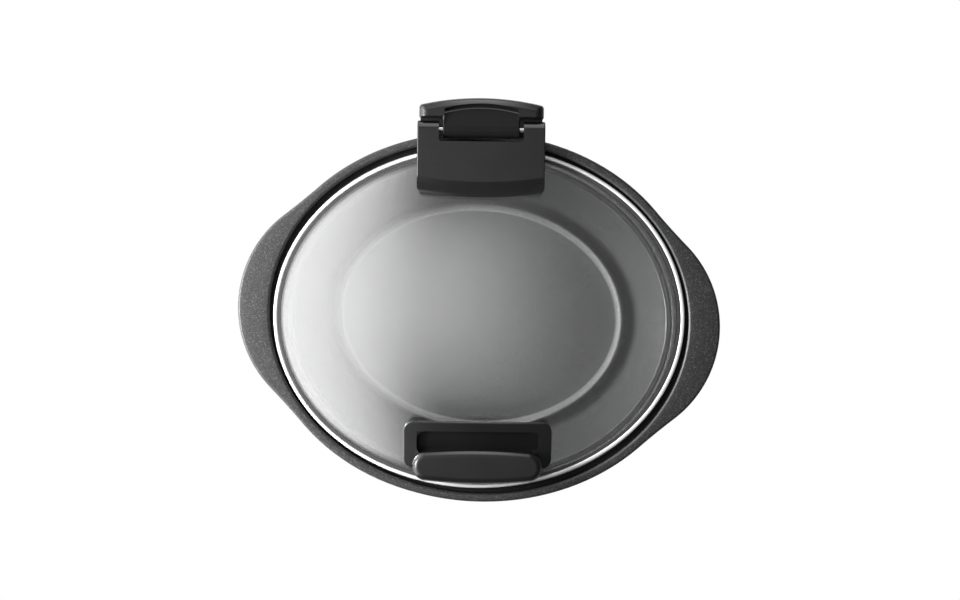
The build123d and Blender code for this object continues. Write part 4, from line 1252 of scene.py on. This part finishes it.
# ------------------------------------------------------------------ heated base
@dataclass
class HeatedBase:
    """Casing, collar, tray and feet, with the heating parts and the wiring inside."""

    corners: tuple[str, ...] = ("front_left", "front_right", "rear_left", "rear_right")
    leads: tuple[str, ...] = ("supply", "link", "heater", "return", "switch")

    def build(self, wardrobe: Wardrobe) -> None:
        """Dresses the base's nodes.

        Args:
            wardrobe: gives the finishes.
        """
        for finish, names in (
            (Finish.CASING, ["outer_casing"]),
            (Finish.BLACK_PLASTIC, ["base_tray", "rim_collar", "cord_inlet", "inlet_nut"]),
            (Finish.GLOSS_BLACK, ["hinge_tower"]),
            (Finish.ALUMINIUM, ["heating_well", "heat_shield"]),
            (Finish.HEATER, ["heater_band"]),
            (Finish.SILICONE, [f"foot_{corner}" for corner in self.corners]),
            (Finish.ZINC, ["tray_screws", "tower_screws", "tie_stud", "tie_nut", "board_screws"]),
            (Finish.INSULATOR, ["thermostat", "thermal_fuse", "terminal_block", "rotary_switch"]),
            (Finish.SLEEVE, [f"lead_{lead}" for lead in self.leads]),
        ):
            wardrobe.dress_nodes(finish, *names)


@dataclass
class Controls:
    """Panel, knob, marks, lamp and board."""

    def build(self, wardrobe: Wardrobe) -> None:
        """Dresses the controls' nodes.

        Args:
            wardrobe: gives the finishes.
        """
        wardrobe.dress_nodes(Finish.GLOSS_BLACK, "control_panel", "control_knob")
        wardrobe.dress_nodes(Finish.PRINT, "dial_marks", "knob_pointer")
        wardrobe.dress_nodes(Finish.LENS, "indicator_lens")
        wardrobe.dress_nodes(Finish.BOARD, "control_board")
        wardrobe.dress_nodes(Finish.ZINC, "switch_shaft")


# ------------------------------------------------------------------ studio
def stage_sheet(
    name: str, corners: Sequence[Point], faces: Sequence[Sequence[int]], look: Any
) -> bpy.types.Object:
    """Flat sheets that stand round the object and aren't part of it.

    Args:
        name: the object's name.
        corners: points in metres.
        faces: corner numbers of each sheet.
        look: its material.

    Returns:
        The new object.
    """
    mesh = bpy.data.meshes.new(name)
    mesh.from_pydata(corners, [], faces)
    mesh.materials.append(look)
    sheet = bpy.data.objects.new(name, mesh)
    bpy.context.scene.collection.objects.link(sheet)
    return sheet


@dataclass(frozen=True)
class Softbox:
    """A rectangular lamp aimed at a point, in metres and watts."""

    name: str
    place: Point
    target: Point
    size: tuple[float, float]
    power: float
    glossy: bool = True

    def build(self) -> None:
        """Adds the lamp to the scene."""
        lamp = bpy.data.lights.new(self.name, "AREA")
        lamp.shape, lamp.size, lamp.size_y = "RECTANGLE", *self.size
        lamp.energy = self.power
        holder = bpy.data.objects.new(self.name, lamp)
        holder.location = self.place
        aim = Vector(self.target) - Vector(self.place)
        holder.rotation_euler = aim.to_track_quat("-Z", "Y").to_euler()
        holder.visible_glossy = self.glossy
        bpy.context.scene.collection.objects.link(holder)


@dataclass
class ReflectionCard:
    """A glowing card that only gloss sees: level overhead, bent down at the left and rear.

    Lengths are in metres. The pairs of numbers are where soft steps start and end: along -X
    for the left ones and the side, and along Y for the front, the back and the rear.
    """

    reach: float = 0.9
    depth: float = 1.0
    height: float = 1.0
    foot: float = 0.04
    base_glow: float = 0.12
    left_glow: float = 1.9
    left: tuple[float, float] = (0.15, 0.78)
    middle: tuple[float, float] = (-0.38, 0.38)
    even: tuple[float, float] = (0.1, 0.5)
    front: tuple[float, float] = (-0.6, 0.05)
    back: tuple[float, float] = (0.1, 0.7)
    back_loss: float = 0.8
    side_glow: float = 2.0
    side: tuple[float, float] = (0.86, 0.9)
    rear_glow: float = 3.6
    rear: tuple[float, float] = (0.56, 0.72)
    rear_half_width: float = 0.2

    def glow(self) -> bpy.types.Material:
        """Strength over the card.

        The glow grows to the left. Over the middle it also fades to the front and the back,
        less so at the left. The bend at the left and a patch at the rear are brighter.

        Returns:
            The card's material.
        """
        tree = Tree(bpy.data.materials.new("card_glow"))
        across, along = tree.along("X"), tree.along("Y")
        left = -across
        even = tree.ramp(left, *self.even)
        fade = tree.ramp(along, *self.front) * (1.0 - tree.ramp(along, *self.back) * self.back_loss)
        middle = tree.ramp(left, *self.middle) * (fade + (1.0 - fade) * even)
        narrow = 1.0 - tree.ramp(across * across, 0.0, self.rear_half_width**2)
        strength = (
            tree.ramp(left, *self.left) * self.left_glow
            + middle
            + tree.ramp(along, *self.rear) * narrow * self.rear_glow
            + tree.ramp(left, *self.side) * self.side_glow
            + self.base_glow
        )
        return tree.finish(tree.node("ShaderNodeEmission", sockets={"Strength": strength}))

    def build(self) -> None:
        """Adds the card, seen in reflections alone."""
        x, y, z, low = self.reach, self.depth, self.height, self.foot
        corners = [(-x, -y, z), (-x, y, z), (x, y, z), (x, -y, z)]
        corners += [(-x, -y, low), (-x, y, low), (x, y, low)]
        faces = [(0, 1, 2, 3), (1, 0, 4, 5), (2, 1, 5, 6)]
        card = stage_sheet("reflection_card", corners, faces, self.glow())
        card.visible_camera = False
        card.visible_diffuse = False
        card.visible_shadow = False
        card.visible_transmission = False


@dataclass
class Studio:
    """Pale floor, soft lights and a camera that looks straight down.

    The camera's height over the flange is in metres. A pixel's width there and the middle of
    the picture, from the bowl's middle, are in millimetres.
    """

    floor_reach: float = 6.0
    floor_grey: float = 0.8
    sky: float = 0.13
    camera_height: float = 1.5
    flange_z: float = 160.5
    sensor: float = 36.0
    pixels_wide: int = 960
    pixel: float = 0.8273
    middle_x: float = 0.65
    middle_y: float = 14.07
    roll: float = math.radians(0.73)
    key: Softbox = Softbox("key", (-0.9, 0.0, 0.62), (0.0, 0.0, 0.15), (0.35, 0.6), 26.0)
    top: Softbox = Softbox("top", (-0.1, 0.1, 1.6), (0.0, 0.0, 0.1), (0.5, 0.5), 5.0, False)

    def floor(self) -> None:
        """A large floor, pale grey to light and white to the camera."""
        reach, grey = self.floor_reach, self.floor_grey
        tree = Tree(bpy.data.materials.new("white_floor"))
        ray = tree.node("ShaderNodeLightPath", output="Is Camera Ray")
        paint = tree.node("ShaderNodeBsdfDiffuse", sockets={"Color": (grey, grey, grey, 1.0)})
        glow = tree.node("ShaderNodeEmission", sockets={"Color": (1, 1, 1, 1), "Strength": 1.0})
        look = tree.finish(tree.shared(ray, paint, glow))
        corners = [(-reach, -reach, 0), (reach, -reach, 0), (reach, reach, 0), (-reach, reach, 0)]
        stage_sheet("floor", corners, [(0, 1, 2, 3)], look)

    def world(self) -> None:
        """An even sky that is white to the camera and dim to everything else."""
        tree = Tree(bpy.data.worlds.new("studio_world"))
        ray = tree.node("ShaderNodeLightPath", output="Is Camera Ray")
        sockets = {"Color": (1, 1, 1, 1), "Strength": ray.span(self.sky, 1.0)}
        sky = tree.node("ShaderNodeBackground", sockets=sockets)
        bpy.context.scene.world = tree.finish(sky, "ShaderNodeOutputWorld")

    def camera(self) -> None:
        """Straight down over the flange, far enough off for little perspective."""
        data = bpy.data.cameras.new("camera")
        data.sensor_width = self.sensor
        data.lens = self.sensor * self.camera_height / (self.pixels_wide * self.pixel * MM)
        camera = bpy.data.objects.new("camera", data)
        camera.location = (
            self.middle_x * MM,
            (BOWL_Y + self.middle_y) * MM,
            self.flange_z * MM + self.camera_height,
        )
        camera.rotation_euler = (0.0, 0.0, self.roll)
        bpy.context.scene.collection.objects.link(camera)
        bpy.context.scene.camera = camera

    def build(self) -> None:
        """Sets up the floor, world, lights and camera."""
        self.floor()
        self.world()
        self.key.build()
        self.top.build()
        ReflectionCard().build()
        self.camera()
        bpy.context.scene.view_settings.view_transform = "Standard"


def main() -> None:
    """Builds every sub-assembly and the studio."""
    logging.basicConfig(level=logging.INFO, format="%(name)s %(message)s")
    wardrobe = Wardrobe()
    for assembly in (CastPot(), Lid(), Hinge(), HeatedBase(), Controls()):
        assembly.build(wardrobe)
        log.info("%s done", type(assembly).__name__)
    Studio().build()


if __name__ == "__main__":
    main()
